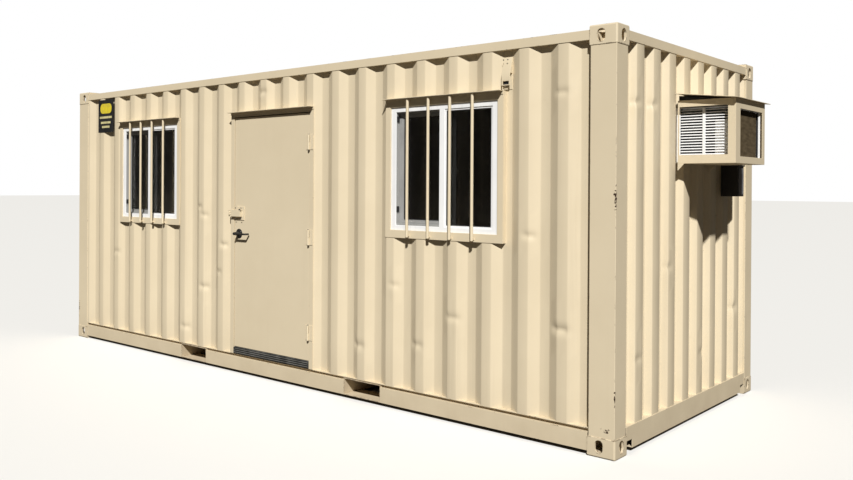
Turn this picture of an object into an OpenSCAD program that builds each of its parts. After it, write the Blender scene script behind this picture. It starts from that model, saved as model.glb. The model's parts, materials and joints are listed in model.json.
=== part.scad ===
// Shipping container cabin: a corrugated steel box with a door, two barred windows and an air conditioner.
// Millimetres, +Z up. The origin is the middle of the plan, on the plane of the lowest corner fittings.
// The door side faces -Y and the air conditioner end faces +X.

/* [Container] */
// Length over the corner fittings
box_l = 6058; // [5048:1:7270]
// Width over the corner fittings
box_w = 2438; // [2031:1:2926]
// Height over the corner fittings
box_h = 2591; // [2560:1:3110]

/* [Corner fittings] */
// Size of a fitting along the box
fitting_l = 178; // [150:1:210]
// Size of a fitting across the box
fitting_w = 162; // [140:1:190]
// Height of a fitting
fitting_h = 118; // [110:1:124]
// Length of the twistlock slot
slot_l = 124; // [105:1:124]
// Width of the twistlock slot
slot_w = 63.5; // [53:0.5:64]
// Centre of the slot from the end face
slot_x = 102.5; // [98:0.5:104]
// Centre of the slot from the side face
slot_y = 89.5; // [80:0.5:94]
// Thickness of the plate with the slot
slot_plate = 28; // [24:1:32]
// Thickness of the outer side plates
fitting_plate = 16; // [12:1:19]
// Thickness of the inner plates
fitting_back = 12; // [8:1:14]
// Height of the holes in the side plates
lug_hole_h = 79; // [66:1:79]
// How far those holes start below the inside of the slotted plate
lug_hole_drop = 2; // [0:0.5:4]
// Width of the hole on the long side
side_hole_w = 51; // [42:1:62]
// Width of the hole on the end
end_hole_w = 62; // [51:1:74]

/* [Corner posts] */
// Post face along the box
post_l = 172; // [145:1:205]
// Post face across the box
post_w = 154; // [130:1:184]
// Plate of a post
post_plate = 6; // [4:1:8]
// How far posts and rails stay inside the fittings' faces
set_in = 4; // [3:0.5:5]

/* [Rails and floor frame] */
// Underside of the bottom side rails
rail_z = 28; // [24:1:33]
// Height of the rail's outer face
rail_face_h = 112; // [94:1:120]
// Top of the bottom side rails, where the wall sheet stands
wall_foot_z = 165; // [160:1:190]
// Depth of the step behind the rail's outer face
rail_step = 35; // [29:1:38]
// Depth of a bottom side rail
rail_d = 65; // [60:1:78]
// Plate of the rails
rail_plate = 4.5; // [3.5:0.5:6]
// Top of the bottom end rails
end_rail_top_z = 168; // [160:1:190]
// Gap between an end rail and the plane of the lining
end_rail_gap = 2; // [1:0.5:4]
// Length of the notch under each end of a bottom end rail
end_notch_w = 85; // [71:1:102]
// Height of the notch under each end of a bottom end rail
end_notch_h = 54; // [45:1:65]
// Side of the square tube of the top rails
top_rail = 60; // [50:1:70]
// Gap between the top rails and the top of the fittings
top_rail_drop = 26; // [24:1:31]
// Underside of the floor boards
floor_z = 155; // [155:1:160]
// Thickness of the floor boards
floor_t = 28; // [24:1:34]
// Width of a floor beam
beam_w = 45; // [38:1:54]
// Web of a floor beam
beam_plate = 4; // [3:0.5:5]
// Spacing of the floor beams
beam_pitch = 310; // [290:1:330]
// Least gap between a floor beam and a fork pocket
beam_gap = 10; // [4:1:20]

/* [Fork pockets] */
// Distance between the pockets' centres
pocket_spacing = 2050; // [1710:1:2460]
// Clear width of a pocket
pocket_w = 356; // [300:1:420]
// Clear height of a pocket
pocket_h = 115; // [100:1:115]
// Strap under a pocket's mouth
pocket_strap = 7; // [5:1:7]
// Length of a strap
pocket_strap_l = 200; // [166:1:240]
// Side and top plates of a pocket
pocket_plate = 5; // [4:0.5:5]

/* [Wall sheet] */
// Spacing of the waves on the long sides
side_pitch = 277; // [231:1:332]
// Flat outer face of a wave
side_crest = 72; // [60:1:80]
// Slope of a wave, along the wall
side_slope = 68; // [56:1:70]
// Depth of a wave
side_depth = 36; // [30:1:40]
// First wave from the right-hand post
side_first = 182; // [150:1:218]
// Spacing of the waves on the ends
end_pitch = 250; // [230:1:300]
// Flat outer face of a wave on the ends
end_crest = 110; // [92:1:112]
// Slope of a wave on the ends, along the wall
end_slope = 18; // [15:1:21]
// Depth of a wave on the ends
end_depth = 45.6; // [38:0.1:50]
// Spacing of the waves on the roof
roof_pitch = 209; // [180:1:250]
// Flat top of a wave on the roof
roof_crest = 91; // [76:1:100]
// Slope of a wave on the roof
roof_slope = 13.5; // [11:0.5:16]
// Depth of a wave on the roof
roof_depth = 18; // [15:1:20]
// Flat margin of the roof beside its waves
roof_margin = 95; // [80:1:115]
// Thickness of the sheet
sheet_t = 2; // [1.6:0.1:2.4]
// How far the outer faces of the waves stay inside the fittings' faces
wave_in = 8; // [8:0.5:9]

/* [Lining] */
// Thickness of the insulated lining panels
lining_t = 60; // [50:1:72]
// Thickness of the ceiling panel
ceiling_t = 50; // [42:1:60]
// Gap between the ceiling panel and the roof sheet
ceiling_drop = 102; // [85:1:122]

/* [Windows] */
// Distance from the middle of the wall to the middle of a window
window_x = 1748; // [1560:1:1850]
// Width of the white window unit
window_w = 910; // [758:1:1092]
// Height of the white window unit
window_h = 885; // [737:1:1062]
// Width of the steel surround at the sides
surround_side = 44; // [37:1:53]
// Width of the steel surround under the window
surround_foot = 55; // [46:1:66]
// Width of the steel surround over the window
surround_head = 60; // [50:1:72]
// Plate of the steel surrounds
surround_plate = 4; // [3:0.5:4]
// How far a surround laps over the wall sheet
surround_lap = 10; // [8:1:12]
// Width of the unit's outer frame
unit_frame = 46; // [38:1:55]
// Width of the unit's foot and head
unit_foot = 36; // [30:1:43]
// Width of the middle bar
unit_bar = 46; // [38:1:55]
// How far the unit's face lies behind the surround's face
unit_in = 10; // [8:1:12]
// Depth of the unit
unit_d = 94; // [78:1:112]
// Width of the sliding sash's members
sash_w = 28; // [24:1:34]
// Thickness of the sliding sash
sash_t = 24; // [20:1:28]
// How far the sash stays inside the unit's inner face
sash_in = 30; // [25:1:36]
// Gap between the sash and the middle bar
sash_fit = 4; // [2:0.5:6]
// How far the sash laps behind the middle bar
sash_lap = 14; // [11:1:17]
// Thickness of the glass
glass_t = 5; // [4:1:6]
// Depth of the fixed pane behind the unit's face
pane_in = 12; // [10:1:14]

/* [Door] */
// Width of the door leaf
door_w = 910; // [758:1:1092]
// Height of the door leaf
door_h = 1969; // [1640:1:2090]
// Thickness of the door leaf
door_t = 45; // [38:1:54]
// Clearance round the door leaf
door_gap = 8; // [8:0.5:9.5]
// How far the leaf's face lies behind the frame's face
door_in = 6; // [5:1:7]
// Width of a door jamb
jamb_w = 42; // [42:1:50]
// Width of the stop behind the leaf
stop_w = 15; // [12:1:18]
// Height of the frame over the door
frame_head = 40; // [33:1:48]
// Height of the threshold over the foot of the wall
threshold_h = 55; // [46:1:66]
// Projection of the drip caps
cap_d = 50; // [42:1:60]
// Thickness of a drip cap
cap_t = 5; // [4:0.5:6]
// Height of a drip cap's leg
cap_leg = 25; // [20:1:30]

/* [Hinges and locks] */
// Height of the lowest hinge's middle over the foot of the leaf
hinge_foot = 223; // [186:1:268]
// Height of the leaf's head over the highest hinge's middle
hinge_head = 234; // [195:1:281]
// Height of a hinge
hinge_h = 120; // [100:1:144]
// Radius of a hinge barrel
barrel_r = 9; // [8:0.5:9.5]
// Radius of a hinge pin
pin_r = 5; // [4:0.5:6]
// Running clearance of a pin or spindle
run_fit = 0.05; // [0.02:0.01:0.1]
// Distance of the hinge axis from the frame's face
hinge_out = 10; // [10:0.5:12]
// Width of a hinge plate
hinge_plate_w = 34; // [28:1:36]
// Thickness of a hinge plate
hinge_plate_t = 4; // [3:0.5:4.5]
// Centre of the lever from the leaf's free edge
lever_in = 57; // [50:1:68]
// Height of the lever over the foot of the leaf
lever_height = 975; // [815:1:1170]
// Reach of the lever
lever_l = 137; // [115:1:164]
// Distance of the lever's grip from the leaf
lever_out = 58; // [48:1:66]
// How far the lever's end stays off the leaf
lever_end_gap = 16; // [13:1:20]
// Radius of the lever's grip
grip_r = 8; // [7:0.5:9.5]
// Radius of a rose
rose_r = 31; // [26:1:37]
// Thickness of a rose
rose_t = 10; // [8:1:12]
// Clearance of the leaf's hole round the lever's spindle
spindle_fit = 4; // [3:0.5:5]
// Width of the lock plate
lock_w = 98; // [82:1:110]
// Height of the lock plate
lock_h = 116; // [97:1:139]
// Height of the lock's middle over the lever
lock_up = 174; // [160:1:208]
// Middle of the lock from the lever's centre, away from the leaf's edge
lock_side = 18; // [15:1:22]
// Thickness of the lock plate
lock_t = 6; // [5:1:7]
// Height of the hasp strap
strap_h = 56; // [52:1:66]
// Thickness of the hasp strap
strap_t = 5; // [4:0.5:6]
// Distance of the hasp strap from the leaf
strap_out = 28; // [23:1:33]
// How far the strap reaches past its slot
strap_past = 14; // [11:1:17]
// Radius of the staple's round bar
staple_r = 5; // [4:0.5:6]
// Half the height of the staple's bow
staple_span = 11; // [9:1:13]
// Clearance of the strap's slot round the staple
staple_fit = 5; // [4:0.5:6]
// Width of the staple's plate
staple_plate_w = 30; // [25:1:36]
// Height of the staple's plate
staple_plate_h = 60; // [50:1:72]

/* [Air conditioner] */
// Width of the cage
cage_w = 578; // [500:1:690]
// Projection of the cage from the wall
cage_d = 374; // [312:1:448]
// Underside of the cage
cage_z = 1778; // [1700:1:1790]
// Height of the cage
cage_h = 420; // [410:1:480]
// Plate of the cage
cage_plate = 4; // [3:0.5:5]
// Rim of the cage beside the openings of its sides and its end
cage_rim = 50; // [42:1:56]
// Rim under the openings of the cage's sides
side_rim_foot = 56; // [47:1:67]
// Rim over the openings of the cage's sides
side_rim_head = 44; // [37:1:53]
// Rim at the wall
side_rim_wall = 10; // [8:1:12]
// Rim beside the end's opening, on the door side
end_rim = 85; // [71:1:102]
// Rim under the end's opening
end_rim_foot = 44; // [37:1:53]
// Rim over the end's opening
end_rim_head = 66; // [55:1:79]
// Rise of the cage's roof at the wall
cage_roof_rise = 43; // [36:1:52]
// Overhang of the cage's roof
cage_roof_lap = 47; // [39:1:56]
// Width of the air conditioner
cooler_w = 490; // [410:1:490]
// Height of the air conditioner
cooler_h = 370; // [308:1:370]
// Gap between the air conditioner and the cage's outer plate
cooler_gap = 12; // [10:1:14]
// How far the air conditioner stands into the room
cooler_inside = 44; // [37:1:53]
// Clearance of the hole round the air conditioner
cooler_fit = 5; // [4:1:6]
// Side of the switch box on the end wall
switch_box = 122; // [102:1:146]
// Height of the switch box
switch_box_h = 230; // [192:1:276]
// Middle of the switch box from the middle of the end wall
switch_y = 589; // [500:1:700]
// Underside of the switch box
switch_z = 1556; // [1300:1:1860]
// Height of the switch box's lid
switch_lid_h = 10; // [8:1:12]
// How far that lid laps over the box
switch_lid_lap = 4; // [3:0.5:5]

/* [Fittings on the wall] */
// Width of the blank sign plate
sign_w = 280; // [234:1:336]
// Height of the blank sign plate
sign_h = 335; // [280:1:400]
// Thickness of the sign plate
sign_t = 3; // [2:0.5:4]
// Middle of the sign plate from the left-hand post
sign_in = 341; // [285:1:410]
// Gap between the sign plate and the top rail
sign_drop = 15; // [12:1:18]
// Height of the vent cover
vent_h = 208; // [174:1:215]
// Projection of the vent cover at its mouth
vent_d = 34; // [28:1:40]
// Plate of the vent cover
vent_plate = 4; // [3:0.5:5]
// Height of the flat foot under the vent's mouth
vent_foot = 24; // [20:1:28]
// Gap between the vent cover and the slopes beside it
vent_fit = 2; // [1:0.5:4]
// Height of the vent cover over the window's head
vent_up = 6; // [5:1:12]

/* [Hidden] */
$fn = 48;
eps = 1;
cream = "#e2d2ae";
cream_lit = "#eadcbb";
white = "#f2f2ef";
dark = "#1c1c1e";
steel_grey = "#8e8f8f";
board = "#a98d63";

half_l = box_l / 2;
half_w = box_w / 2;
face_x = half_l - set_in;
face_y = half_w - set_in;
crest_x = half_l - wave_in;
crest_y = half_w - wave_in;
room_side = crest_y - side_depth - sheet_t;
room_end = crest_x - end_depth - sheet_t;
post_in_x = half_l - post_l;
post_in_y = half_w - post_w;
between_fittings_x = half_l - fitting_l;
between_fittings_y = half_w - fitting_w;
rail_step_z = rail_z + rail_face_h;
rail_in_y = face_y - rail_d;
floor_top = floor_z + floor_t;
roof_z = box_h - top_rail_drop;
wall_top = roof_z - top_rail;
pocket_z = rail_z + pocket_strap;
pocket_half = pocket_w / 2 + pocket_plate;
side_phase = post_in_x - side_first;

threshold_z = wall_foot_z + threshold_h;
door_z = threshold_z + door_gap;
door_top = door_z + door_h;
head_foot = door_top + door_gap;
head_z = head_foot + frame_head;
ceiling_z = roof_z - ceiling_drop - ceiling_t;

frame_y = crest_y + surround_plate;
inner_y = room_side - lining_t;
surround_half = window_w / 2 + surround_side;
wall_hole_half = surround_half - surround_lap;
lining_hole_half = window_w / 2 + surround_plate;
window_top = head_z - surround_head;
window_z = window_top - window_h;
surround_z = window_z - surround_foot;
sash_y = frame_y - unit_in - unit_d + sash_in;

door_half = door_w / 2;
jamb_in = door_half + door_gap;
jamb_out = jamb_in + jamb_w;
door_y = frame_y - door_in;
stop_y = door_y - door_t - door_gap;
hinge_x = door_half + door_gap / 2;
hinge_y = frame_y + hinge_out;
barrel_gap = 0.5;
lever_x = lever_in - door_half;
lever_z = door_z + lever_height;
lock_z = lever_z + lock_up;
lock_x = lever_x + lock_side;
staple_x = -(door_half + door_gap + jamb_w / 2);
slot_half = staple_r + staple_fit;

cage_x = crest_x;
cage_top = cage_z + cage_h;
cooler_z = cage_z + cage_plate;
cooler_x = room_end - lining_t - cooler_inside;

// Depth of a wave at a place along a wall, measured inwards from the crest.
function wave_depth(s, pitch, crest, slope, depth) =
    let (off = abs(s - pitch * floor(s / pitch + 0.5)))
    off < crest / 2 ? 0 : off < crest / 2 + slope ? depth * (off - crest / 2) / slope : depth;

// The bends of the waves between two places, with the two places themselves.
function wave_bends(from, to, pitch, crest, slope) = concat([from],
    [for (k = [floor(from / pitch) - 1 : ceil(to / pitch) + 1])
        for (bend = [-crest / 2 - slope, -crest / 2, crest / 2, crest / 2 + slope])
            if (k * pitch + bend > from + 0.5 && k * pitch + bend < to - 0.5) k * pitch + bend],
    [to]);

// Section of a corrugated sheet from one place to another, with its crests at s = phase + n * pitch.
module wave_section(from, to, phase, pitch, crest, slope, depth) {
    bends = wave_bends(from - phase, to - phase, pitch, crest, slope);
    outer = [for (s = bends) [s + phase, wave_depth(s, pitch, crest, slope, depth)]];
    inner = [for (i = [len(bends) - 1 : -1 : 0]) outer[i] + [0, sheet_t]];
    polygon(concat(outer, inner));
}

// Plate that closes the end of a corrugated sheet, from the outer line of its waves to their foot.
module wave_end(from, to, phase, pitch, crest, slope, depth) {
    bends = wave_bends(from - phase, to - phase, pitch, crest, slope);
    outer = [for (s = bends) [s + phase, wave_depth(s, pitch, crest, slope, depth)]];
    polygon(concat(outer, [[to, depth + sheet_t], [from, depth + sheet_t]]));
}

// A piece of the long wall on the door side, from x to x and from z to z.
module side_sheet(x0, x1, z0, z1) {
    translate([0, -crest_y, z0]) linear_extrude(z1 - z0)
        wave_section(x0, x1, side_phase, side_pitch, side_crest, side_slope, side_depth);
}

// The wall at the +X end, between its posts and round the upper fittings.
module end_sheet() {
    difference() {
        translate([crest_x, 0, end_rail_top_z]) rotate([0, 0, 90])
            linear_extrude(wall_top - end_rail_top_z)
                wave_section(-post_in_y, post_in_y, end_pitch / 2, end_pitch, end_crest, end_slope,
                    end_depth);
        upper_fitting_room();
    }
}

// A box between two corners.
module block(low, high) {
    translate(low) cube(high - low);
}

// Each child once at every corner of the plan, mirrored.
module at_corners() {
    for (x_turn = [0, 1], y_turn = [0, 1]) mirror([x_turn, 0, 0]) mirror([0, y_turn, 0]) children();
}

// Each child on the right and, mirrored, on the left.
module left_and_right() {
    for (turn = [0, 1]) mirror([turn, 0, 0]) children();
}

// Each child on the door side and, mirrored, on the back.
module front_and_back() {
    for (turn = [0, 1]) mirror([0, turn, 0]) children();
}

// A rounded slot of a length and a width, standing on the XY plane and running along X.
module slot(length, width, height) {
    translate([-(length - width) / 2, -width / 2, 0]) cube([length - width, width, height]);
    for (end = [-1, 1]) translate([end * (length - width) / 2, 0, 0]) cylinder(h = height, d = width);
}

// A corner fitting, with its outer corner at the origin and its slot plate on the XY plane.
module fitting() {
    hole_z = slot_plate - lug_hole_drop + lug_hole_h / 2;
    difference() {
        cube([fitting_l, fitting_w, fitting_h]);
        block([fitting_plate, fitting_plate, slot_plate],
            [fitting_l - fitting_back, fitting_w - fitting_back, fitting_h - fitting_back]);
        translate([slot_x, slot_y, -eps]) slot(slot_l, slot_w, slot_plate + 2 * eps);
        translate([slot_x, fitting_plate + eps, hole_z]) rotate([90, 0, 0]) rotate([0, 0, 90])
            slot(lug_hole_h, side_hole_w, fitting_plate + 2 * eps);
        translate([-eps, slot_y, hole_z]) rotate([0, 90, 0])
            slot(lug_hole_h, end_hole_w, fitting_plate + 2 * eps);
    }
}

module bottom_fittings() {
    color(cream) at_corners() translate([-half_l, -half_w, 0]) fitting();
}

module top_fittings() {
    color(cream) at_corners() translate([-half_l, -half_w, box_h]) mirror([0, 0, 1]) fitting();
}

// Outline of a post: an L with one leg along each wall, moved in by a distance all round.
module post_outline(inset) {
    near = set_in + inset;
    leg_y = half_w - room_side - inset;
    leg_x = half_l - room_end - inset;
    polygon([[near, near], [post_l - inset, near], [post_l - inset, leg_y], [leg_x, leg_y],
        [leg_x, post_w - inset], [near, post_w - inset]]);
}

module corner_posts() {
    color(cream_lit) at_corners() translate([-half_l, -half_w, fitting_h])
        linear_extrude(box_h - 2 * fitting_h) difference() {
            post_outline(0);
            post_outline(post_plate);
        }
}

// Section of a bottom side rail, across the box, moved in by a distance all round.
module rail_section(inset) {
    polygon([[-face_y + inset, rail_z + inset], [-face_y + inset, rail_step_z - inset],
        [-face_y + rail_step + inset, rail_step_z - inset],
        [-face_y + rail_step + inset, wall_foot_z - inset],
        [-rail_in_y - inset, wall_foot_z - inset], [-rail_in_y - inset, rail_z + inset]]);
}

// The upper plate of each rail reaches out to the crests and carries the foot of the wall.
module bottom_side_rails() {
    color(cream) front_and_back() difference() {
        union() {
            translate([between_fittings_x, 0, 0]) rotate([90, 0, -90]) mirror([1, 0, 0])
                linear_extrude(2 * between_fittings_x) difference() {
                    rail_section(0);
                    rail_section(rail_plate);
                }
            block([-between_fittings_x, -crest_y, wall_foot_z - rail_plate],
                [between_fittings_x, -rail_in_y, wall_foot_z]);
        }
        left_and_right() block([pocket_spacing / 2 - pocket_half, -face_y - eps, rail_z - eps],
            [pocket_spacing / 2 + pocket_half, -rail_in_y + eps, pocket_z + pocket_h + pocket_plate]);
    }
}

module bottom_end_rails() {
    rail_t = face_x - room_end - end_rail_gap;
    color(cream) left_and_right() difference() {
        block([face_x - rail_t, -between_fittings_y, rail_z], [face_x, between_fittings_y, end_rail_top_z]);
        block([face_x - rail_t - eps, -between_fittings_y - eps, rail_z + rail_plate],
            [face_x - rail_plate, between_fittings_y + eps, end_rail_top_z - rail_plate]);
        front_and_back() block([face_x - rail_t - eps, between_fittings_y - end_notch_w, rail_z - eps],
            [face_x + eps, between_fittings_y + eps, rail_z + end_notch_h]);
    }
}

// A square tube along X between two places, with its lower edge nearest -Y at the origin.
module tube_x(length, side, plate) {
    difference() {
        cube([length, side, side]);
        translate([-eps, plate, plate]) cube([length + 2 * eps, side - 2 * plate, side - 2 * plate]);
    }
}

module top_side_rails() {
    color(cream_lit) front_and_back() translate([-between_fittings_x, -face_y, wall_top])
        tube_x(2 * between_fittings_x, top_rail, rail_plate);
}

// The end rails, each with the flat header plate that closes the roof between the fittings.
module top_end_rails() {
    color(cream_lit) left_and_right() {
        translate([face_x, -between_fittings_y, wall_top]) rotate([0, 0, 90])
            tube_x(2 * between_fittings_y, top_rail, rail_plate);
        block([between_fittings_x, -between_fittings_y, roof_z],
            [face_x - top_rail / 4, between_fittings_y, roof_z + rail_plate]);
    }
}

module fork_pockets() {
    color(cream) left_and_right() translate([pocket_spacing / 2, 0, 0]) difference() {
        block([-pocket_half, -face_y, rail_z], [pocket_half, face_y, pocket_z + pocket_h + pocket_plate]);
        block([-pocket_w / 2, -face_y - eps, pocket_z], [pocket_w / 2, face_y + eps, pocket_z + pocket_h]);
        block([-pocket_w / 2, -face_y + pocket_strap_l, rail_z - eps],
            [pocket_w / 2, face_y - pocket_strap_l, pocket_z + eps]);
    }
}

// A floor beam: a channel across the box, open towards +X.
module floor_beam() {
    difference() {
        block([-beam_w / 2, -rail_in_y, pocket_z], [beam_w / 2, rail_in_y, floor_z]);
        block([-beam_w / 2 + beam_plate, -rail_in_y - eps, pocket_z + beam_plate],
            [beam_w / 2 + eps, rail_in_y + eps, floor_z - beam_plate]);
    }
}

module floor_beams() {
    beam_room = pocket_half + beam_w / 2 + beam_gap;
    last_beam = floor((room_end - beam_w) / beam_pitch);
    color(cream) for (i = [-last_beam : last_beam])
        if (abs(abs(i * beam_pitch) - pocket_spacing / 2) > beam_room)
            translate([i * beam_pitch, 0, 0]) floor_beam();
}

module floor_boards() {
    color(board) block([-room_end, -rail_in_y, floor_z], [room_end, rail_in_y, floor_top]);
}

// The room of the upper fittings, which the sheets leave free.
module upper_fitting_room() {
    at_corners() block([between_fittings_x, between_fittings_y, box_h - fitting_h],
        [half_l + eps, half_w + eps, box_h + eps]);
}

module front_wall_panels() {
    color(cream_lit) difference() {
        union() {
            side_sheet(-post_in_x, -window_x - wall_hole_half, wall_foot_z, wall_top);
            side_sheet(-window_x + wall_hole_half, -jamb_out + surround_lap, wall_foot_z, wall_top);
            side_sheet(jamb_out - surround_lap, window_x - wall_hole_half, wall_foot_z, wall_top);
            side_sheet(window_x + wall_hole_half, post_in_x, wall_foot_z, wall_top);
        }
        upper_fitting_room();
    }
}

module front_wall_sills() {
    color(cream_lit) for (x = [-window_x, window_x])
        side_sheet(x - wall_hole_half, x + wall_hole_half, wall_foot_z, surround_z + surround_lap);
}

module front_wall_heads() {
    foot = head_z - surround_lap;
    color(cream_lit) {
        for (x = [-window_x, window_x]) side_sheet(x - wall_hole_half, x + wall_hole_half, foot, wall_top);
        side_sheet(-jamb_out + surround_lap, jamb_out - surround_lap, foot, wall_top);
    }
}

module back_wall() {
    color(cream_lit) difference() {
        mirror([0, 1, 0]) side_sheet(-post_in_x, post_in_x, wall_foot_z, wall_top);
        upper_fitting_room();
    }
}

module left_end_wall() {
    color(cream_lit) mirror([1, 0, 0]) end_sheet();
}

// The way of the air conditioner through the wall and its lining.
module cooler_hole() {
    half = cooler_w / 2 + cooler_fit;
    block([cooler_x, -half, cooler_z], [crest_x + eps, half, cooler_z + cooler_h + cooler_fit]);
}

module right_end_wall() {
    color(cream_lit) difference() {
        end_sheet();
        cooler_hole();
    }
}

// A piece of the front lining, from x to x and from z to z.
module front_lining(x0, x1, z0, z1) {
    block([x0, -room_side, z0], [x1, -inner_y, z1]);
}

module front_lining_panels() {
    color(white) {
        front_lining(-room_end, -window_x - lining_hole_half, floor_top, ceiling_z);
        front_lining(-window_x + lining_hole_half, -jamb_out, floor_top, ceiling_z);
        front_lining(jamb_out, window_x - lining_hole_half, floor_top, ceiling_z);
        front_lining(window_x + lining_hole_half, room_end, floor_top, ceiling_z);
    }
}

module front_lining_sills() {
    color(white) for (x = [-window_x, window_x])
        front_lining(x - lining_hole_half, x + lining_hole_half, floor_top, window_z - surround_plate);
}

module front_lining_heads() {
    color(white) {
        for (x = [-window_x, window_x])
            front_lining(x - lining_hole_half, x + lining_hole_half, window_top + surround_plate,
                ceiling_z);
        front_lining(-jamb_out, jamb_out, head_z, ceiling_z);
    }
}

module back_lining() {
    color(white) block([-room_end, inner_y, floor_top], [room_end, room_side, ceiling_z]);
}

module left_end_lining() {
    color(white) block([-room_end, -inner_y, floor_top], [-room_end + lining_t, inner_y, ceiling_z]);
}

module right_end_lining() {
    color(white) difference() {
        block([room_end - lining_t, -inner_y, floor_top], [room_end, inner_y, ceiling_z]);
        cooler_hole();
    }
}

// The roof sheet: whole waves across the box, closed at both ends, in a flat margin on the side rails.
module roof_sheet() {
    roof_w = face_y - top_rail / 4;
    wave_w = roof_w - roof_margin;
    wave_l = roof_pitch * (floor(between_fittings_x / roof_pitch - 0.5) + 0.5);
    crest_z = roof_z + roof_depth + sheet_t;
    color(cream_lit) {
        translate([0, wave_w, crest_z]) rotate([90, 0, 0]) linear_extrude(2 * wave_w) mirror([0, 1])
            wave_section(-wave_l, wave_l, 0, roof_pitch, roof_crest, roof_slope, roof_depth);
        for (y = [-wave_w + sheet_t, wave_w]) translate([0, y, crest_z]) rotate([90, 0, 0])
            linear_extrude(sheet_t) mirror([0, 1])
                wave_end(-wave_l, wave_l, 0, roof_pitch, roof_crest, roof_slope, roof_depth);
        front_and_back() block([-between_fittings_x, -roof_w, roof_z],
            [between_fittings_x, -wave_w + sheet_t, roof_z + sheet_t]);
        left_and_right() block([wave_l - sheet_t, -roof_w, roof_z],
            [between_fittings_x, roof_w, roof_z + sheet_t]);
    }
}

module ceiling_panel() {
    color(white) block([-room_end, -room_side, ceiling_z], [room_end, room_side, ceiling_z + ceiling_t]);
}

// A steel surround: a flat frame on the wall sheet and a sleeve through the wall.
module window_surround() {
    difference() {
        union() {
            block([-surround_half, -frame_y, surround_z], [surround_half, -crest_y, head_z]);
            block([-lining_hole_half, -frame_y, window_z - surround_plate],
                [lining_hole_half, -inner_y, window_top + surround_plate]);
        }
        block([-window_w / 2, -frame_y - eps, window_z], [window_w / 2, -inner_y + eps, window_top]);
    }
}

module window_surrounds() {
    color(cream) for (x = [-window_x, window_x]) translate([x, 0, 0]) window_surround();
}

// The white frame of a window: a ring with a middle bar in front of the sliding sash.
module window_frame() {
    unit_y = frame_y - unit_in;
    light_x = window_w / 2 - unit_frame;
    difference() {
        block([-window_w / 2, -unit_y, window_z], [window_w / 2, -unit_y + unit_d, window_top]);
        block([-light_x, -unit_y - eps, window_z + unit_foot],
            [-unit_bar / 2, -unit_y + unit_d + eps, window_top - unit_foot]);
        block([unit_bar / 2, -unit_y - eps, window_z + unit_foot],
            [light_x, -unit_y + unit_d + eps, window_top - unit_foot]);
        block([-light_x, -sash_y - sash_t - sash_fit, window_z + unit_foot],
            [light_x, -unit_y + unit_d + eps, window_top - unit_foot]);
    }
}

module window_frames() {
    color(white) for (x = [-window_x, window_x]) translate([x, 0, 0]) window_frame();
}

// The sliding sash, on the inner track of the left-hand light.
module window_sash() {
    left = -window_w / 2 + unit_frame;
    right = unit_bar / 2 + sash_lap;
    low = window_z + unit_foot;
    high = window_top - unit_foot;
    difference() {
        block([left, -sash_y - sash_t, low], [right, -sash_y, high]);
        block([left + sash_w, -sash_y - sash_t - eps, low + sash_w],
            [right - sash_w, -sash_y + eps, high - sash_w]);
    }
}

module window_sashes() {
    color(white) for (x = [-window_x, window_x]) translate([x, 0, 0]) window_sash();
}

module window_panes() {
    unit_y = frame_y - unit_in;
    left = -window_w / 2 + unit_frame + sash_w;
    sash_mid = -sash_y - sash_t / 2;
    color(dark) for (x = [-window_x, window_x]) translate([x, 0, 0]) {
        block([left, sash_mid - glass_t / 2, window_z + unit_foot + sash_w],
            [unit_bar / 2 + sash_lap - sash_w, sash_mid + glass_t / 2, window_top - unit_foot - sash_w]);
        block([unit_bar / 2, -unit_y + pane_in, window_z + unit_foot],
            [window_w / 2 - unit_frame, -unit_y + pane_in + glass_t, window_top - unit_foot]);
    }
}

// The door frame: two jambs and a head, with a stop behind the leaf.
module door_frame() {
    color(cream) difference() {
        union() {
            block([-jamb_out, -frame_y, wall_foot_z], [jamb_out, -crest_y, head_z]);
            block([-jamb_out + surround_lap, -frame_y, wall_foot_z],
                [jamb_out - surround_lap, -room_side, head_z - surround_lap]);
            block([-jamb_out, -room_side, floor_top], [jamb_out, -inner_y, head_z]);
        }
        block([-jamb_in, -frame_y - eps, wall_foot_z - eps], [jamb_in, -stop_y, head_foot]);
        block([-jamb_in + stop_w, -stop_y - eps, wall_foot_z - eps],
            [jamb_in - stop_w, -inner_y + eps, head_foot - stop_w]);
        block([-jamb_in, -stop_y - eps, wall_foot_z - eps], [jamb_in, -inner_y + eps, threshold_z]);
    }
}

module door_threshold() {
    color(steel_grey) union() {
        block([-jamb_in, -frame_y, wall_foot_z], [jamb_in, -rail_in_y, threshold_z]);
        block([-jamb_in, -rail_in_y - eps, floor_top], [jamb_in, -inner_y, threshold_z]);
    }
}

// A drip cap of a width: a flat shelf with a leg down the surround.
module drip_cap(half) {
    block([-half, -frame_y - cap_d, head_z - cap_t], [half, -frame_y, head_z]);
    block([-half, -frame_y - cap_t, head_z - cap_leg], [half, -frame_y, head_z - eps]);
}

module drip_caps() {
    color(cream_lit) {
        for (x = [-window_x, window_x]) translate([x, 0, 0]) drip_cap(surround_half);
        drip_cap(jamb_out);
    }
}

// The middles of the hinges, as heights.
function hinge_zs() =
    let (low = door_z + hinge_foot, high = door_top - hinge_head) [low, (low + high) / 2, high];

module hinge_frame_halves() {
    barrel_h = hinge_h / 2 - barrel_gap;
    plate_x = hinge_x + barrel_r + 1;
    color(cream_lit) for (z = hinge_zs()) {
        translate([hinge_x, -hinge_y, z - hinge_h / 2]) {
            cylinder(h = barrel_h, r = barrel_r);
            cylinder(h = hinge_h, r = pin_r);
        }
        block([hinge_x, -frame_y - hinge_plate_t, z - hinge_h / 2],
            [plate_x + eps, -frame_y, z - barrel_gap]);
        block([plate_x, -frame_y - hinge_plate_t, z - hinge_h / 2],
            [plate_x + hinge_plate_w, -frame_y, z + hinge_h / 2]);
    }
}

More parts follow.
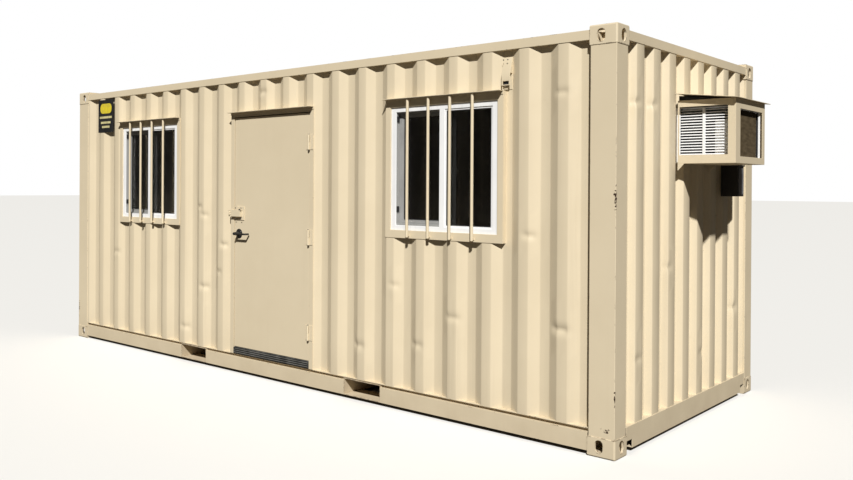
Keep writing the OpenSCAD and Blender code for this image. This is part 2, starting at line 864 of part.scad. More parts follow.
module hinge_door_halves() {
    barrel_h = hinge_h / 2 - barrel_gap;
    color(cream_lit) for (z = hinge_zs()) difference() {
        union() {
            translate([hinge_x, -hinge_y, z + barrel_gap]) cylinder(h = barrel_h, r = barrel_r);
            block([hinge_x - barrel_r, -hinge_y, z + barrel_gap], [door_half, -door_y, z + hinge_h / 2]);
            block([door_half - hinge_plate_w, -door_y - hinge_plate_t, z - hinge_h / 2],
                [door_half, -door_y, z + hinge_h / 2]);
        }
        translate([hinge_x, -hinge_y, z]) cylinder(h = hinge_h, r = pin_r + run_fit);
    }
}

module door_leaf() {
    color(cream) difference() {
        block([-door_half, -door_y, door_z], [door_half, -door_y + door_t, door_top]);
        translate([lever_x, -door_y - eps, lever_z]) rotate([-90, 0, 0])
            cylinder(h = door_t + 2 * eps, r = grip_r + spindle_fit);
    }
}

module lever_roses() {
    color(dark) for (y = [-door_y - rose_t, -door_y + door_t])
        translate([lever_x, y, lever_z]) rotate([-90, 0, 0]) difference() {
            cylinder(h = rose_t, r = rose_r);
            translate([0, 0, -eps]) cylinder(h = rose_t + 2 * eps, r = grip_r + run_fit);
        }
}

// One grip of the lever, reaching out from the leaf and back towards it at its end.
module lever_grip() {
    translate([0, -lever_out, 0]) rotate([0, 90, 0]) cylinder(h = lever_l, r = grip_r);
    translate([0, -lever_out, 0]) sphere(r = grip_r);
    translate([lever_l, -lever_out, 0]) sphere(r = grip_r);
    translate([lever_l, -lever_out, 0]) rotate([-90, 0, 0])
        cylinder(h = lever_out - lever_end_gap, r = grip_r);
}

module door_lever() {
    color(dark) {
        translate([lever_x, -door_y, lever_z]) lever_grip();
        translate([lever_x, -door_y + door_t, lever_z]) mirror([0, 1, 0]) lever_grip();
        translate([lever_x, -door_y - lever_out, lever_z]) rotate([-90, 0, 0])
            cylinder(h = door_t + 2 * lever_out, r = grip_r);
    }
}

module lock_plate() {
    color(cream_lit) {
        block([lock_x - lock_w / 2, -door_y - lock_t, lock_z - lock_h / 2],
            [lock_x + lock_w / 2, -door_y, lock_z + lock_h / 2]);
        block([lock_x - lock_w / 4, -door_y - strap_out, lock_z - strap_h / 2],
            [lock_x + lock_w / 4, -door_y - lock_t + eps, lock_z + strap_h / 2]);
    }
}

module hasp_strap() {
    strap_y = -door_y - strap_out;
    strap_left = staple_x - slot_half - strap_past;
    slot_rise = staple_span + slot_half;
    color(cream_lit) difference() {
        block([strap_left, strap_y - strap_t, lock_z - strap_h / 2],
            [lock_x + lock_w / 4, strap_y, lock_z + strap_h / 2]);
        block([staple_x - slot_half, strap_y - strap_t - eps, lock_z - slot_rise],
            [staple_x + slot_half, strap_y + eps, lock_z + slot_rise]);
    }
}

// The staple that the strap passes over: a plate on the jamb and a bow.
module hasp_staple() {
    reach = strap_out + strap_t - door_in + 2 * staple_r;
    bow_y = -frame_y - reach;
    color(cream_lit) {
        block([staple_x - staple_plate_w / 2, -frame_y - hinge_plate_t, lock_z - staple_plate_h / 2],
            [staple_x + staple_plate_w / 2, -frame_y, lock_z + staple_plate_h / 2]);
        for (side = [-1, 1]) translate([staple_x, bow_y, lock_z + side * staple_span])
            rotate([-90, 0, 0]) cylinder(h = reach, r = staple_r);
        translate([staple_x, bow_y, lock_z - staple_span]) cylinder(h = 2 * staple_span, r = staple_r);
        for (side = [-1, 1]) translate([staple_x, bow_y, lock_z + side * staple_span]) sphere(r = staple_r);
    }
}

// Middle of the valley of the long wall that lies nearest to a place.
function valley_near(x) = side_phase + side_pitch * (floor((x - side_phase) / side_pitch) + 0.5);

// The pressed cover of a vent, in the valley beside the right-hand window's top corner.
module vent_cover() {
    vent_w = side_pitch - side_crest - 2 * side_slope - 2 * vent_fit;
    back = -crest_y + side_depth;
    low = head_z + vent_up;
    mouth = low + vent_foot;
    knee = low + vent_h / 2;
    color(cream_lit) translate([valley_near(window_x + surround_half) - vent_w / 2, 0, 0])
        rotate([90, 0, 90]) linear_extrude(vent_w) difference() {
            polygon([[back, low], [back - vent_plate, low], [back - vent_plate, mouth],
                [back - vent_d, mouth], [back - vent_d, knee], [back - vent_plate, low + vent_h],
                [back, low + vent_h]]);
            polygon([[back - vent_plate, mouth - eps], [back - vent_plate, knee],
                [back - vent_d + vent_plate, knee], [back - vent_d + vent_plate, mouth - eps]]);
        }
}

module sign_plate() {
    sign_x = -post_in_x + sign_in;
    sign_top = wall_top - sign_drop;
    color(dark) block([sign_x - sign_w / 2, -crest_y - sign_t, sign_top - sign_h],
        [sign_x + sign_w / 2, -crest_y, sign_top]);
}

// The cage round the air conditioner: plates with open sides and an open end.
module cooler_cage() {
    color(cream) difference() {
        block([cage_x, -cage_w / 2, cage_z], [cage_x + cage_d, cage_w / 2, cage_top]);
        block([cage_x - eps, -cage_w / 2 + cage_plate, cage_z + cage_plate],
            [cage_x + cage_d - cage_plate, cage_w / 2 - cage_plate, cage_top + eps]);
        block([cage_x + side_rim_wall, -cage_w / 2 - eps, cage_z + side_rim_foot],
            [cage_x + cage_d - cage_rim, cage_w / 2 + eps, cage_top - side_rim_head]);
        block([cage_x + cage_d - cage_rim, -cage_w / 2 + end_rim, cage_z + end_rim_foot],
            [cage_x + cage_d + eps, cage_w / 2 - cage_rim, cage_top - end_rim_head]);
    }
}

module cooler_cage_roof() {
    half = cage_w / 2 + cage_roof_lap;
    out = cage_x + cage_d + cage_roof_lap / 2;
    fall = cage_roof_rise * (out - cage_x) / cage_d;
    wall_z = cage_top + cage_roof_rise;
    color(cream_lit) translate([0, half, 0]) rotate([90, 0, 0]) linear_extrude(2 * half)
        polygon([[cage_x, wall_z], [out, wall_z - fall], [out, wall_z - fall + cage_plate],
            [cage_x, wall_z + cage_plate]]);
}

module cooler_unit() {
    color(white) block([cooler_x, -cooler_w / 2, cooler_z],
        [cage_x + cage_d - cage_plate - cooler_gap, cooler_w / 2, cooler_z + cooler_h]);
}

module switch_box_body() {
    color(dark) {
        block([crest_x, switch_y - switch_box / 2, switch_z],
            [crest_x + switch_box, switch_y + switch_box / 2, switch_z + switch_box_h - eps]);
        block([crest_x, switch_y - switch_box / 2 - switch_lid_lap, switch_z + switch_box_h - switch_lid_h],
            [crest_x + switch_box + 2 * switch_lid_lap, switch_y + switch_box / 2 + switch_lid_lap,
            switch_z + switch_box_h]);
    }
}

bottom_fittings();
top_fittings();
corner_posts();
bottom_side_rails();
bottom_end_rails();
top_side_rails();
top_end_rails();
fork_pockets();
floor_beams();
floor_boards();
front_wall_panels();
front_wall_sills();
front_wall_heads();
back_wall();
left_end_wall();
right_end_wall();
front_lining_panels();
front_lining_sills();
front_lining_heads();
back_lining();
left_end_lining();
right_end_lining();
roof_sheet();
ceiling_panel();
window_surrounds();
window_frames();
window_sashes();
window_panes();
door_frame();
door_threshold();
drip_caps();
hinge_frame_halves();
hasp_staple();
vent_cover();
sign_plate();
cooler_cage();
cooler_cage_roof();
cooler_unit();
switch_box_body();
door_leaf();
hinge_door_halves();
lever_roses();
lock_plate();
hasp_strap();
door_lever();
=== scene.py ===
import json
import math

import bpy
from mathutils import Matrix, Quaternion, Vector

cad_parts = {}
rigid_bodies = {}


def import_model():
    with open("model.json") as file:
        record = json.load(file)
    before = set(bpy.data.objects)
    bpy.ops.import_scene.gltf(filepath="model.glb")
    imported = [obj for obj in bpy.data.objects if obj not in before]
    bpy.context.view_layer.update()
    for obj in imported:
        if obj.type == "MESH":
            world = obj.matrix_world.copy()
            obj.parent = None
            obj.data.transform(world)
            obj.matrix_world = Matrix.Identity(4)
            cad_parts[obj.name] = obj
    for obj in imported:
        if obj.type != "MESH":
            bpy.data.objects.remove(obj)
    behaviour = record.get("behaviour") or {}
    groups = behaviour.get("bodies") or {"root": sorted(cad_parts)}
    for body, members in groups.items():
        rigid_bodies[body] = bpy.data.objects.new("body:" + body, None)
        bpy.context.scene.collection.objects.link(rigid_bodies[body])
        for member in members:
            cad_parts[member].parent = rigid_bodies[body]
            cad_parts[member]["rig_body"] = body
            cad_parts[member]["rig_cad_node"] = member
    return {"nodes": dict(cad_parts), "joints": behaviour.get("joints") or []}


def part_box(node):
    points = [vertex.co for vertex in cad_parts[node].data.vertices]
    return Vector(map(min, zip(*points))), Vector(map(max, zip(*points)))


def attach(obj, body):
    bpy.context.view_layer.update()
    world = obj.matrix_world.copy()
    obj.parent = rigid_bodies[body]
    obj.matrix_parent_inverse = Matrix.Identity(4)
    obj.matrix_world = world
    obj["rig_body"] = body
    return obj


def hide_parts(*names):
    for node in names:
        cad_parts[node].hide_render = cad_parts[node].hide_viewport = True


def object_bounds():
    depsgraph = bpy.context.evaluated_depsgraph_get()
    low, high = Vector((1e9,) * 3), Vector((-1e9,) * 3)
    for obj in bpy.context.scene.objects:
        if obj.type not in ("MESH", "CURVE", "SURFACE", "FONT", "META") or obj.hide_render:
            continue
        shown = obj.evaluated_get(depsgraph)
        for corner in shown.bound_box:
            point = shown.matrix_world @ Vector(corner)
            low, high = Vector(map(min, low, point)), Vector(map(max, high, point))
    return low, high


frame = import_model()
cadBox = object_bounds()
nodes = frame["nodes"]


# small modelling helpers

def pickOnly(*pieces):
    for other in list(bpy.context.selected_objects):
        other.select_set(False)
    for piece in pieces:
        piece.select_set(True)
    bpy.context.view_layer.objects.active = pieces[0]


def clearMarks(piece):
    mesh = piece.data
    for part in (mesh.vertices, mesh.edges, mesh.polygons):
        part.foreach_set("select", [False] * len(part))


def halfBox(node, side):
    # the box of what a node has on one side of the middle
    places = [vertex.co for vertex in nodes[node].data.vertices if vertex.co.x * side > 0]
    low = Vector([min(place[axis] for place in places) for axis in range(3)])
    high = Vector([max(place[axis] for place in places) for axis in range(3)])
    return low, high


def openMesh(piece, kind):
    # enters edit mode with vertices, edges or faces as the selection
    pickOnly(piece)
    bpy.context.tool_settings.mesh_select_mode = (kind == "vertex", kind == "edge", kind == "face")
    bpy.ops.object.mode_set(mode="EDIT")


def closeMesh():
    bpy.ops.object.mode_set(mode="OBJECT")


def pickFaces(piece, wanted):
    # wanted gets a face's centre and its normal
    clearMarks(piece)
    for face in piece.data.polygons:
        face.select = bool(wanted(face.center, face.normal))
    openMesh(piece, "face")


def pickEdges(piece, wanted):
    # wanted gets the places of an edge's two ends
    clearMarks(piece)
    mesh = piece.data
    for edge in mesh.edges:
        edge.select = bool(wanted(*[mesh.vertices[index].co for index in edge.vertices]))
    openMesh(piece, "edge")


def pickBends(piece, least, most):
    # selects the edges whose faces meet at an angle between two values, in degrees
    clearMarks(piece)
    mesh = piece.data
    beside = {}
    for face in mesh.polygons:
        for key in face.edge_keys:
            beside.setdefault(key, []).append(face.normal)
    for edge in mesh.edges:
        normals = beside.get(tuple(sorted(edge.vertices)), [])
        if len(normals) == 2:
            edge.select = least < math.degrees(normals[0].angle(normals[1], 0)) < most
    openMesh(piece, "edge")


def addBlock(name, low, high):
    low, high = Vector(low), Vector(high)
    for other in list(bpy.context.selected_objects):
        other.select_set(False)
    bpy.ops.mesh.primitive_cube_add(size=1, location=(low + high) / 2, scale=high - low)
    piece = bpy.context.object
    bpy.ops.object.transform_apply(location=True, rotation=True, scale=True)
    piece.name = name
    return piece


def addRod(name, start, end, radius, sides=24):
    start, end = Vector(start), Vector(end)
    run = end - start
    for other in list(bpy.context.selected_objects):
        other.select_set(False)
    bpy.ops.mesh.primitive_cylinder_add(vertices=sides, radius=radius, depth=run.length,
        location=(start + end) / 2, rotation=run.to_track_quat("Z", "Y").to_euler())
    piece = bpy.context.object
    bpy.ops.object.transform_apply(location=True, rotation=True, scale=True)
    piece.name = name
    return piece


def addRing(name, low, high, width, axis=1):
    # a block with a hole through it along one axis
    piece = addBlock(name, low, high)
    pickFaces(piece, lambda centre, normal: abs(normal[axis]) > 0.5)
    bpy.ops.mesh.inset(thickness=width, use_individual=True)
    bpy.ops.mesh.bridge_edge_loops()
    closeMesh()
    return piece


def addPocket(piece, low, high, axis, way, depth):
    # presses a rectangle of a block's face inwards: low and high give its two other coordinates
    others = [index for index in range(3) if index != axis]
    for index, start, end in zip(others, low, high):
        normal = [0.0, 0.0, 0.0]
        normal[index] = 1.0
        for place in (start, end):
            clearMarks(piece)
            openMesh(piece, "face")
            bpy.ops.mesh.select_all(action="SELECT")
            bpy.ops.mesh.bisect(plane_co=[place * part for part in normal], plane_no=normal)
            closeMesh()
    face = max(vertex.co[axis] * way for vertex in piece.data.vertices)
    pickFaces(piece, lambda centre, normal: normal[axis] * way > 0.9 and centre[axis] * way > face - 0.0005
        and all(start < centre[index] < end for index, start, end in zip(others, low, high)))
    bpy.ops.mesh.inset(thickness=0.0005, depth=-depth)
    closeMesh()


def addScrew(name, place, radius, way, material, body="cabin"):
    # a domed head with a cross in it, facing along way
    way = Vector(way)
    piece = addRod(name, Vector(place), Vector(place) + way * radius * 0.5, radius, 16)
    for turn in (0, 90):
        cross = addBlock("cut", (-radius * 0.6, -radius * 0.1, -radius * 0.25),
            (radius * 0.6, radius * 0.1, radius))
        cross.rotation_euler = (0, 0, math.radians(turn))
        cross.location = (0, 0, 0)
        pickOnly(cross)
        bpy.ops.object.transform_apply(location=False, rotation=True, scale=False)
        cross.rotation_mode = "QUATERNION"
        cross.rotation_quaternion = way.to_track_quat("Z", "Y")
        cross.location = Vector(place) + way * radius * 0.5
        bpy.ops.object.transform_apply(location=True, rotation=True, scale=False)
        cutAway(piece, cross)
    roundEdges(piece, radius * 0.12, 2)
    return finishPiece(piece, material, body)


def cutAway(piece, cutter):
    useModifier(piece, "BOOLEAN", operation="DIFFERENCE", object=cutter, solver="EXACT")
    bpy.data.objects.remove(cutter)


def copyNode(node, name):
    # a clean copy of a CAD node: doubles merged, flat faces whole again
    piece = nodes[node].copy()
    piece.data = nodes[node].data.copy()
    bpy.context.scene.collection.objects.link(piece)
    piece.name = name
    piece.parent = None
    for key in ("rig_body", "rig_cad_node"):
        del piece[key]
    pickOnly(piece)
    if piece.data.has_custom_normals:
        bpy.ops.mesh.customdata_custom_splitnormals_clear()
    openMesh(piece, "vertex")
    bpy.ops.mesh.select_all(action="SELECT")
    bpy.ops.mesh.remove_doubles(threshold=0.00001)
    bpy.ops.mesh.dissolve_limited(angle_limit=math.radians(1))
    closeMesh()
    return piece


def useModifier(piece, kind, **settings):
    modifier = piece.modifiers.new(kind.lower(), kind)
    for key, value in settings.items():
        setattr(modifier, key, value)
    pickOnly(piece)
    bpy.ops.object.modifier_apply(modifier=modifier.name)


def smoothFaces(piece, angle=35):
    pickOnly(piece)
    bpy.ops.object.shade_smooth_by_angle(angle=math.radians(angle))


def roundEdges(piece, width, segments=2, angle=30):
    useModifier(piece, "BEVEL", width=width, segments=segments, limit_method="ANGLE",
        angle_limit=math.radians(angle))
    smoothFaces(piece)
    # large flats keep one even shade beside their rounded edges
    useModifier(piece, "WEIGHTED_NORMAL", keep_sharp=True)


def keepInside(piece, low, high):
    # flattens back onto a box what a bevel or a lump pushed past it
    for axis in range(3):
        for limit, way in ((low[axis], -1), (high[axis], 1)):
            clearMarks(piece)
            past = [vertex for vertex in piece.data.vertices if (vertex.co[axis] - limit) * way > 0]
            if not past:
                continue
            for vertex in past:
                vertex.select = True
            size, middle = [1, 1, 1], [0, 0, 0]
            size[axis] = 0
            middle[axis] = limit
            openMesh(piece, "vertex")
            bpy.ops.transform.resize(value=size, center_override=middle)
            closeMesh()


def repeatPiece(piece, count, step):
    useModifier(piece, "ARRAY", count=count, use_relative_offset=False, use_constant_offset=True,
        constant_offset_displace=step)


def joinPieces(name, pieces):
    pickOnly(*pieces)
    if len(pieces) > 1:
        bpy.ops.object.join()
    pieces[0].name = name
    return pieces[0]


def finishPiece(piece, material, body="cabin", standsFor=()):
    piece.data.materials.clear()
    piece.data.materials.append(material)
    if standsFor:
        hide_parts(*standsFor)
    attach(piece, body)
    return piece


# small node helpers

def addNode(tree, kind, values=None, **settings):
    node = tree.nodes.new("ShaderNode" + kind)
    for key, value in settings.items():
        setattr(node, key, value)
    for key, value in (values or {}).items():
        if isinstance(value, bpy.types.NodeSocket):
            tree.links.new(value, node.inputs[key])
        else:
            node.inputs[key].default_value = value
    return node


def calculate(tree, operation, first, second=0.0, clamp=False):
    return addNode(tree, "Math", {0: first, 1: second}, operation=operation, use_clamp=clamp).outputs[0]


def remap(tree, value, fromLow, fromHigh, toLow=0.0, toHigh=1.0):
    return addNode(tree, "MapRange", {"Value": value, "From Min": fromLow, "From Max": fromHigh,
        "To Min": toLow, "To Max": toHigh}, clamp=True).outputs[0]


def mixColours(tree, factor, first, second):
    node = addNode(tree, "Mix", {0: factor, 6: first, 7: second}, data_type="RGBA")
    return node.outputs[2]


def noise(tree, place, scale, detail=3.0, roughness=0.5):
    return addNode(tree, "TexNoise", {"Vector": place, "Scale": scale, "Detail": detail,
        "Roughness": roughness}).outputs["Fac"]


def stretched(tree, place, scale):
    return addNode(tree, "Mapping", {"Vector": place, "Scale": scale}).outputs["Vector"]


def newGroup(name, inputs, outputs):
    group = bpy.data.node_groups.new(name, "ShaderNodeTree")
    for label, kind, value in inputs:
        socket = group.interface.new_socket(name=label, in_out="INPUT", socket_type="NodeSocket" + kind)
        if value is not None:
            socket.default_value = value
    for label, kind in outputs:
        group.interface.new_socket(name=label, in_out="OUTPUT", socket_type="NodeSocket" + kind)
    start = group.nodes.new("NodeGroupInput")
    end = group.nodes.new("NodeGroupOutput")
    return group, start.outputs, end.inputs


def placeGroup(tree, group, values):
    node = tree.nodes.new("ShaderNodeGroup")
    node.node_tree = group
    for key, value in values.items():
        if isinstance(value, bpy.types.NodeSocket):
            tree.links.new(value, node.inputs[key])
        else:
            node.inputs[key].default_value = value
    return node.outputs


def newMaterial(name):
    # a material with its Principled shader and the object's coordinates
    material = bpy.data.materials.new(name)
    material.use_nodes = True
    tree = material.node_tree
    shader = next(node for node in tree.nodes if node.type == "BSDF_PRINCIPLED")
    place = addNode(tree, "TexCoord").outputs["Object"]
    return material, tree, shader, place


# shared effects

def makeEdgeWear():
    # chips along edges, where the rounded normal leaves the real one
    group, given, result = newGroup("edgeWear",
        [("Place", "Vector", None), ("Width", "Float", 0.006), ("Amount", "Float", 0.5),
        ("Size", "Float", 30.0)],
        [("Mask", "Float")])
    rounded = addNode(group, "Bevel", {"Radius": given["Width"]}, samples=4).outputs["Normal"]
    flat = addNode(group, "NewGeometry").outputs["Normal"]
    along = addNode(group, "VectorMath", {0: rounded, 1: flat}, operation="DOT_PRODUCT").outputs["Value"]
    edge = remap(group, along, 0.995, 0.86)
    chips = noise(group, given["Place"], given["Size"], 5.0, 0.65)
    low = calculate(group, "SUBTRACT", 0.86, given["Amount"])
    chips = addNode(group, "MapRange", {"Value": chips, "From Min": low,
        "From Max": calculate(group, "ADD", low, 0.05)}, clamp=True).outputs[0]
    group.links.new(calculate(group, "MULTIPLY", edge, chips, clamp=True), result["Mask"])
    return group


def makeGroundDust():
    # dirt that thins out with height
    group, given, result = newGroup("groundDust",
        [("Place", "Vector", None), ("Height", "Float", 0.5), ("Amount", "Float", 0.5)], [("Mask", "Float")])
    height = addNode(group, "SeparateXYZ", {0: given["Place"]}).outputs["Z"]
    fall = addNode(group, "MapRange", {"Value": height, "From Min": 0.0, "From Max": given["Height"],
        "To Min": 1.0, "To Max": 0.0}, interpolation_type="SMOOTHSTEP").outputs[0]
    cloud = remap(group, noise(group, given["Place"], 4.0, 6.0, 0.62), 0.25, 0.75, 0.25, 1.0)
    mask = calculate(group, "MULTIPLY", calculate(group, "MULTIPLY", fall, cloud), given["Amount"],
        clamp=True)
    group.links.new(mask, result["Mask"])
    return group


def makeRainStreaks():
    # long thin runs down a wall
    group, given, result = newGroup("rainStreaks",
        [("Place", "Vector", None), ("Amount", "Float", 0.3)], [("Mask", "Float")])
    runs = noise(group, stretched(group, given["Place"], (26.0, 26.0, 0.7)), 1.0, 5.0, 0.6)
    broad = noise(group, stretched(group, given["Place"], (3.0, 3.0, 0.8)), 1.0, 2.0)
    mask = calculate(group, "MULTIPLY", remap(group, runs, 0.5, 0.75), remap(group, broad, 0.4, 0.7))
    group.links.new(calculate(group, "MULTIPLY", mask, given["Amount"], clamp=True), result["Mask"])
    return group


def makePaintGrain():
    # orange peel of sprayed paint on slightly uneven plate
    group, given, result = newGroup("paintGrain",
        [("Place", "Vector", None), ("Peel", "Float", 0.3), ("Wave", "Float", 1.0)],
        [("Height", "Float"), ("Tone", "Float")])
    peel = calculate(group, "MULTIPLY", noise(group, given["Place"], 260.0, 2.0), given["Peel"])
    wave = calculate(group, "MULTIPLY", noise(group, given["Place"], 5.0, 2.0), given["Wave"])
    group.links.new(calculate(group, "ADD", peel, wave), result["Height"])
    group.links.new(remap(group, noise(group, given["Place"], 1.3, 5.0, 0.6), 0.3, 0.7), result["Tone"])
    return group


def makeChipPatch():
    # knocked-off paint gathered round one place
    group, given, result = newGroup("chipPatch",
        [("Place", "Vector", None), ("Centre", "Vector", (0, 0, 0)), ("Reach", "Vector", (0.1, 0.1, 0.1))],
        [("Mask", "Float")])
    away = addNode(group, "VectorMath", {0: given["Place"], 1: given["Centre"]},
        operation="SUBTRACT").outputs[0]
    away = addNode(group, "VectorMath", {0: away, 1: given["Reach"]}, operation="DIVIDE").outputs[0]
    away = addNode(group, "VectorMath", {0: away}, operation="LENGTH").outputs["Value"]
    near = remap(group, away, 1.0, 0.2)
    chips = noise(group, given["Place"], 55.0, 5.0, 0.62)
    level = calculate(group, "ADD", chips, calculate(group, "MULTIPLY", near, 0.22))
    mask = calculate(group, "MULTIPLY", remap(group, level, 0.66, 0.69), remap(group, near, 0.0, 0.15))
    group.links.new(mask, result["Mask"])
    return group


def makeTopRust():
    # rust and dirt on what faces the sky
    group, given, result = newGroup("topRust",
        [("Place", "Vector", None), ("Amount", "Float", 0.5), ("Size", "Float", 18.0)],
        [("Rust", "Float"), ("Dirt", "Float")])
    up = addNode(group, "SeparateXYZ", {0: addNode(group, "NewGeometry").outputs["Normal"]}).outputs["Z"]
    flat = remap(group, up, 0.6, 0.95)
    spots = noise(group, given["Place"], given["Size"], 6.0, 0.65)
    low = calculate(group, "SUBTRACT", 0.78, calculate(group, "MULTIPLY", given["Amount"], 0.3))
    spots = addNode(group, "MapRange", {"Value": spots, "From Min": low,
        "From Max": calculate(group, "ADD", low, 0.08)}, clamp=True).outputs[0]
    group.links.new(calculate(group, "MULTIPLY", flat, spots), result["Rust"])
    cloud = remap(group, noise(group, given["Place"], 2.5, 5.0, 0.6), 0.3, 0.7, 0.2, 1.0)
    group.links.new(calculate(group, "MULTIPLY", flat, cloud), result["Dirt"])
    return group


edgeWear = makeEdgeWear()
groundDust = makeGroundDust()
rainStreaks = makeRainStreaks()
paintGrain = makePaintGrain()
chipPatch = makeChipPatch()
topRust = makeTopRust()
print("shared effects ready")


# materials

paintShades = {
    "cream": (0.700, 0.600, 0.430, 1),
    "creamFaded": (0.655, 0.558, 0.395, 1),
    "dust": (0.36, 0.28, 0.18, 1),
    "streak": (0.47, 0.39, 0.27, 1),
    "bareRust": (0.050, 0.028, 0.016, 1),
    "lightRust": (0.19, 0.085, 0.035, 1),
}


def creamPaint(name, wear=0.3, dust=0.35, streaks=0.3, roughness=0.46, dustHeight=0.45, peel=0.3,
        rust=0.0, chipPlaces=()):
    material, tree, shader, place = newMaterial(name)
    grain = placeGroup(tree, paintGrain, {"Place": place, "Peel": peel, "Wave": 1.0})
    colour = mixColours(tree, grain["Tone"], paintShades["creamFaded"], paintShades["cream"])
    runs = placeGroup(tree, rainStreaks, {"Place": place, "Amount": streaks})["Mask"]
    colour = mixColours(tree, runs, colour, paintShades["streak"])
    dirt = placeGroup(tree, groundDust, {"Place": place, "Height": dustHeight, "Amount": dust})["Mask"]
    if rust:
        top = placeGroup(tree, topRust, {"Place": place, "Amount": rust, "Size": 22.0})
        dirt = calculate(tree, "MAXIMUM", dirt, calculate(tree, "MULTIPLY", top["Dirt"], 0.45))
    colour = mixColours(tree, dirt, colour, paintShades["dust"])
    if rust:
        colour = mixColours(tree, top["Rust"], colour, paintShades["lightRust"])
    chips = placeGroup(tree, edgeWear, {"Place": place, "Width": 0.007, "Amount": wear, "Size": 26.0})["Mask"]
    for centre, reach in chipPlaces:
        patch = placeGroup(tree, chipPatch, {"Place": place, "Centre": centre, "Reach": reach})["Mask"]
        chips = calculate(tree, "MAXIMUM", chips, patch)
    colour = mixColours(tree, chips, colour, paintShades["bareRust"])
    tree.links.new(colour, shader.inputs["Base Color"])
    rough = calculate(tree, "ADD", remap(tree, noise(tree, place, 9.0, 4.0), 0.3, 0.7, roughness - 0.05,
        roughness + 0.08), calculate(tree, "MULTIPLY", dirt, 0.3), clamp=True)
    tree.links.new(rough, shader.inputs["Roughness"])
    height = calculate(tree, "SUBTRACT", grain["Height"], calculate(tree, "MULTIPLY", chips, 0.6))
    bump = addNode(tree, "Bump", {"Height": height, "Strength": 0.25, "Distance": 0.002})
    tree.links.new(bump.outputs["Normal"], shader.inputs["Normal"])
    return material


cabinLow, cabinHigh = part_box("corner_posts")
postChips = [((cabinHigh.x - 0.05, cabinLow.y, 0.17), (0.055, 0.03, 0.020)),
    ((cabinHigh.x, cabinLow.y, 0.35), (0.012, 0.014, 0.11)), ((cabinHigh.x, cabinLow.y, 1.55),
    (0.02, 0.02, 0.10)),
    ((cabinLow.x, cabinLow.y, 0.30), (0.03, 0.02, 0.12)), ((cabinLow.x + 0.05, cabinHigh.y, 0.25),
    (0.06, 0.03, 0.08))]
wallPaint = creamPaint("wallPaint", wear=0.16, dust=0.3, streaks=0.3)
postPaint = creamPaint("postPaint", wear=0.30, dust=0.22, streaks=0.15, chipPlaces=postChips)
castPaint = creamPaint("castPaint", wear=0.38, dust=0.3, streaks=0.1, roughness=0.55, peel=0.8, rust=0.8)
railPaint = creamPaint("railPaint", wear=0.28, dust=0.35, streaks=0.12)
doorPaint = creamPaint("doorPaint", wear=0.15, dust=0.15, streaks=0.10, roughness=0.5)
trimPaint = creamPaint("trimPaint", wear=0.18, dust=0.1, streaks=0.15)
roofPaint = creamPaint("roofPaint", wear=0.3, dust=0.0, streaks=0.1, roughness=0.6, rust=0.55)
underPaint = creamPaint("underPaint", wear=0.4, dust=0.9, streaks=0.0, roughness=0.7, dustHeight=0.9)


vinylShades = {
    "dull": (0.80, 0.81, 0.82, 1),
    "clean": (0.90, 0.90, 0.90, 1),
    # the two grey shades below stand for painted shade in the window's recess, with grime
    "shadeAndGrime": (0.36, 0.36, 0.35, 1),
    "shadeAndGrimeDark": (0.25, 0.25, 0.245, 1),
    "streak": (0.16, 0.155, 0.145, 1),
}


def vinyl(name, dull, clean, streaks=0.25, shadeAndGrimeDepths=None):
    # the places along Y given here are where the plastic is painted grey inside the frame's depth: painted
    # shade of the recess, with grime
    material, tree, shader, place = newMaterial(name)
    tone = remap(tree, noise(tree, place, 3.0, 4.0), 0.3, 0.7)
    colour = mixColours(tree, tone, dull, clean)
    if shadeAndGrimeDepths:
        # painted shade with grime: the plastic turns grey between the two depths, inside the frame's recess
        start, end = shadeAndGrimeDepths
        depth = addNode(tree, "SeparateXYZ", {0: place}).outputs["Y"]
        deep = calculate(tree, "MULTIPLY", remap(tree, depth, start, start + 0.004),
            remap(tree, depth, end - 0.004, end, 1.0, 0.0))
        colour = mixColours(tree, deep, colour, vinylShades["shadeAndGrime"])
    runs = placeGroup(tree, rainStreaks, {"Place": place, "Amount": streaks})["Mask"]
    colour = mixColours(tree, runs, colour, vinylShades["streak"])
    tree.links.new(colour, shader.inputs["Base Color"])
    tree.links.new(remap(tree, noise(tree, place, 40.0), 0.2, 0.8, 0.25, 0.4), shader.inputs["Roughness"])
    bump = addNode(tree, "Bump", {"Height": noise(tree, place, 500.0), "Strength": 0.05, "Distance": 0.001})
    tree.links.new(bump.outputs["Normal"], shader.inputs["Normal"])
    return material


def tintedGlass():
    material, tree, shader, place = newMaterial("tintedGlass")
    colour = mixColours(tree, remap(tree, noise(tree, place, 2.0, 5.0), 0.3, 0.7),
        (0.36, 0.39, 0.40, 1), (0.43, 0.46, 0.47, 1))
    tree.links.new(colour, shader.inputs["Base Color"])
    shader.inputs["Transmission Weight"].default_value = 1.0
    shader.inputs["Alpha"].default_value = 0.45
    shader.inputs["IOR"].default_value = 1.45
    smear = remap(tree, noise(tree, stretched(tree, place, (3.0, 3.0, 9.0)), 1.0, 6.0), 0.45, 0.8, 0.01, 0.06)
    tree.links.new(smear, shader.inputs["Roughness"])
    return material


def blackPlastic(name, shade=0.012, roughness=0.45):
    material, tree, shader, place = newMaterial(name)
    tone = remap(tree, noise(tree, place, 8.0, 4.0), 0.3, 0.7)
    colour = mixColours(tree, tone, (shade, shade, shade * 1.1, 1), (shade * 2, shade * 2, shade * 2, 1))
    scuffs = placeGroup(tree, edgeWear, {"Place": place, "Width": 0.003, "Amount": 0.4, "Size": 60.0})["Mask"]
    colour = mixColours(tree, scuffs, colour, (0.09, 0.09, 0.085, 1))
    tree.links.new(colour, shader.inputs["Base Color"])
    tree.links.new(remap(tree, noise(tree, place, 60.0), 0.2, 0.8, roughness - 0.08, roughness + 0.1),
        shader.inputs["Roughness"])
    bump = addNode(tree, "Bump", {"Height": noise(tree, place, 700.0), "Strength": 0.12, "Distance": 0.001})
    tree.links.new(bump.outputs["Normal"], shader.inputs["Normal"])
    return material


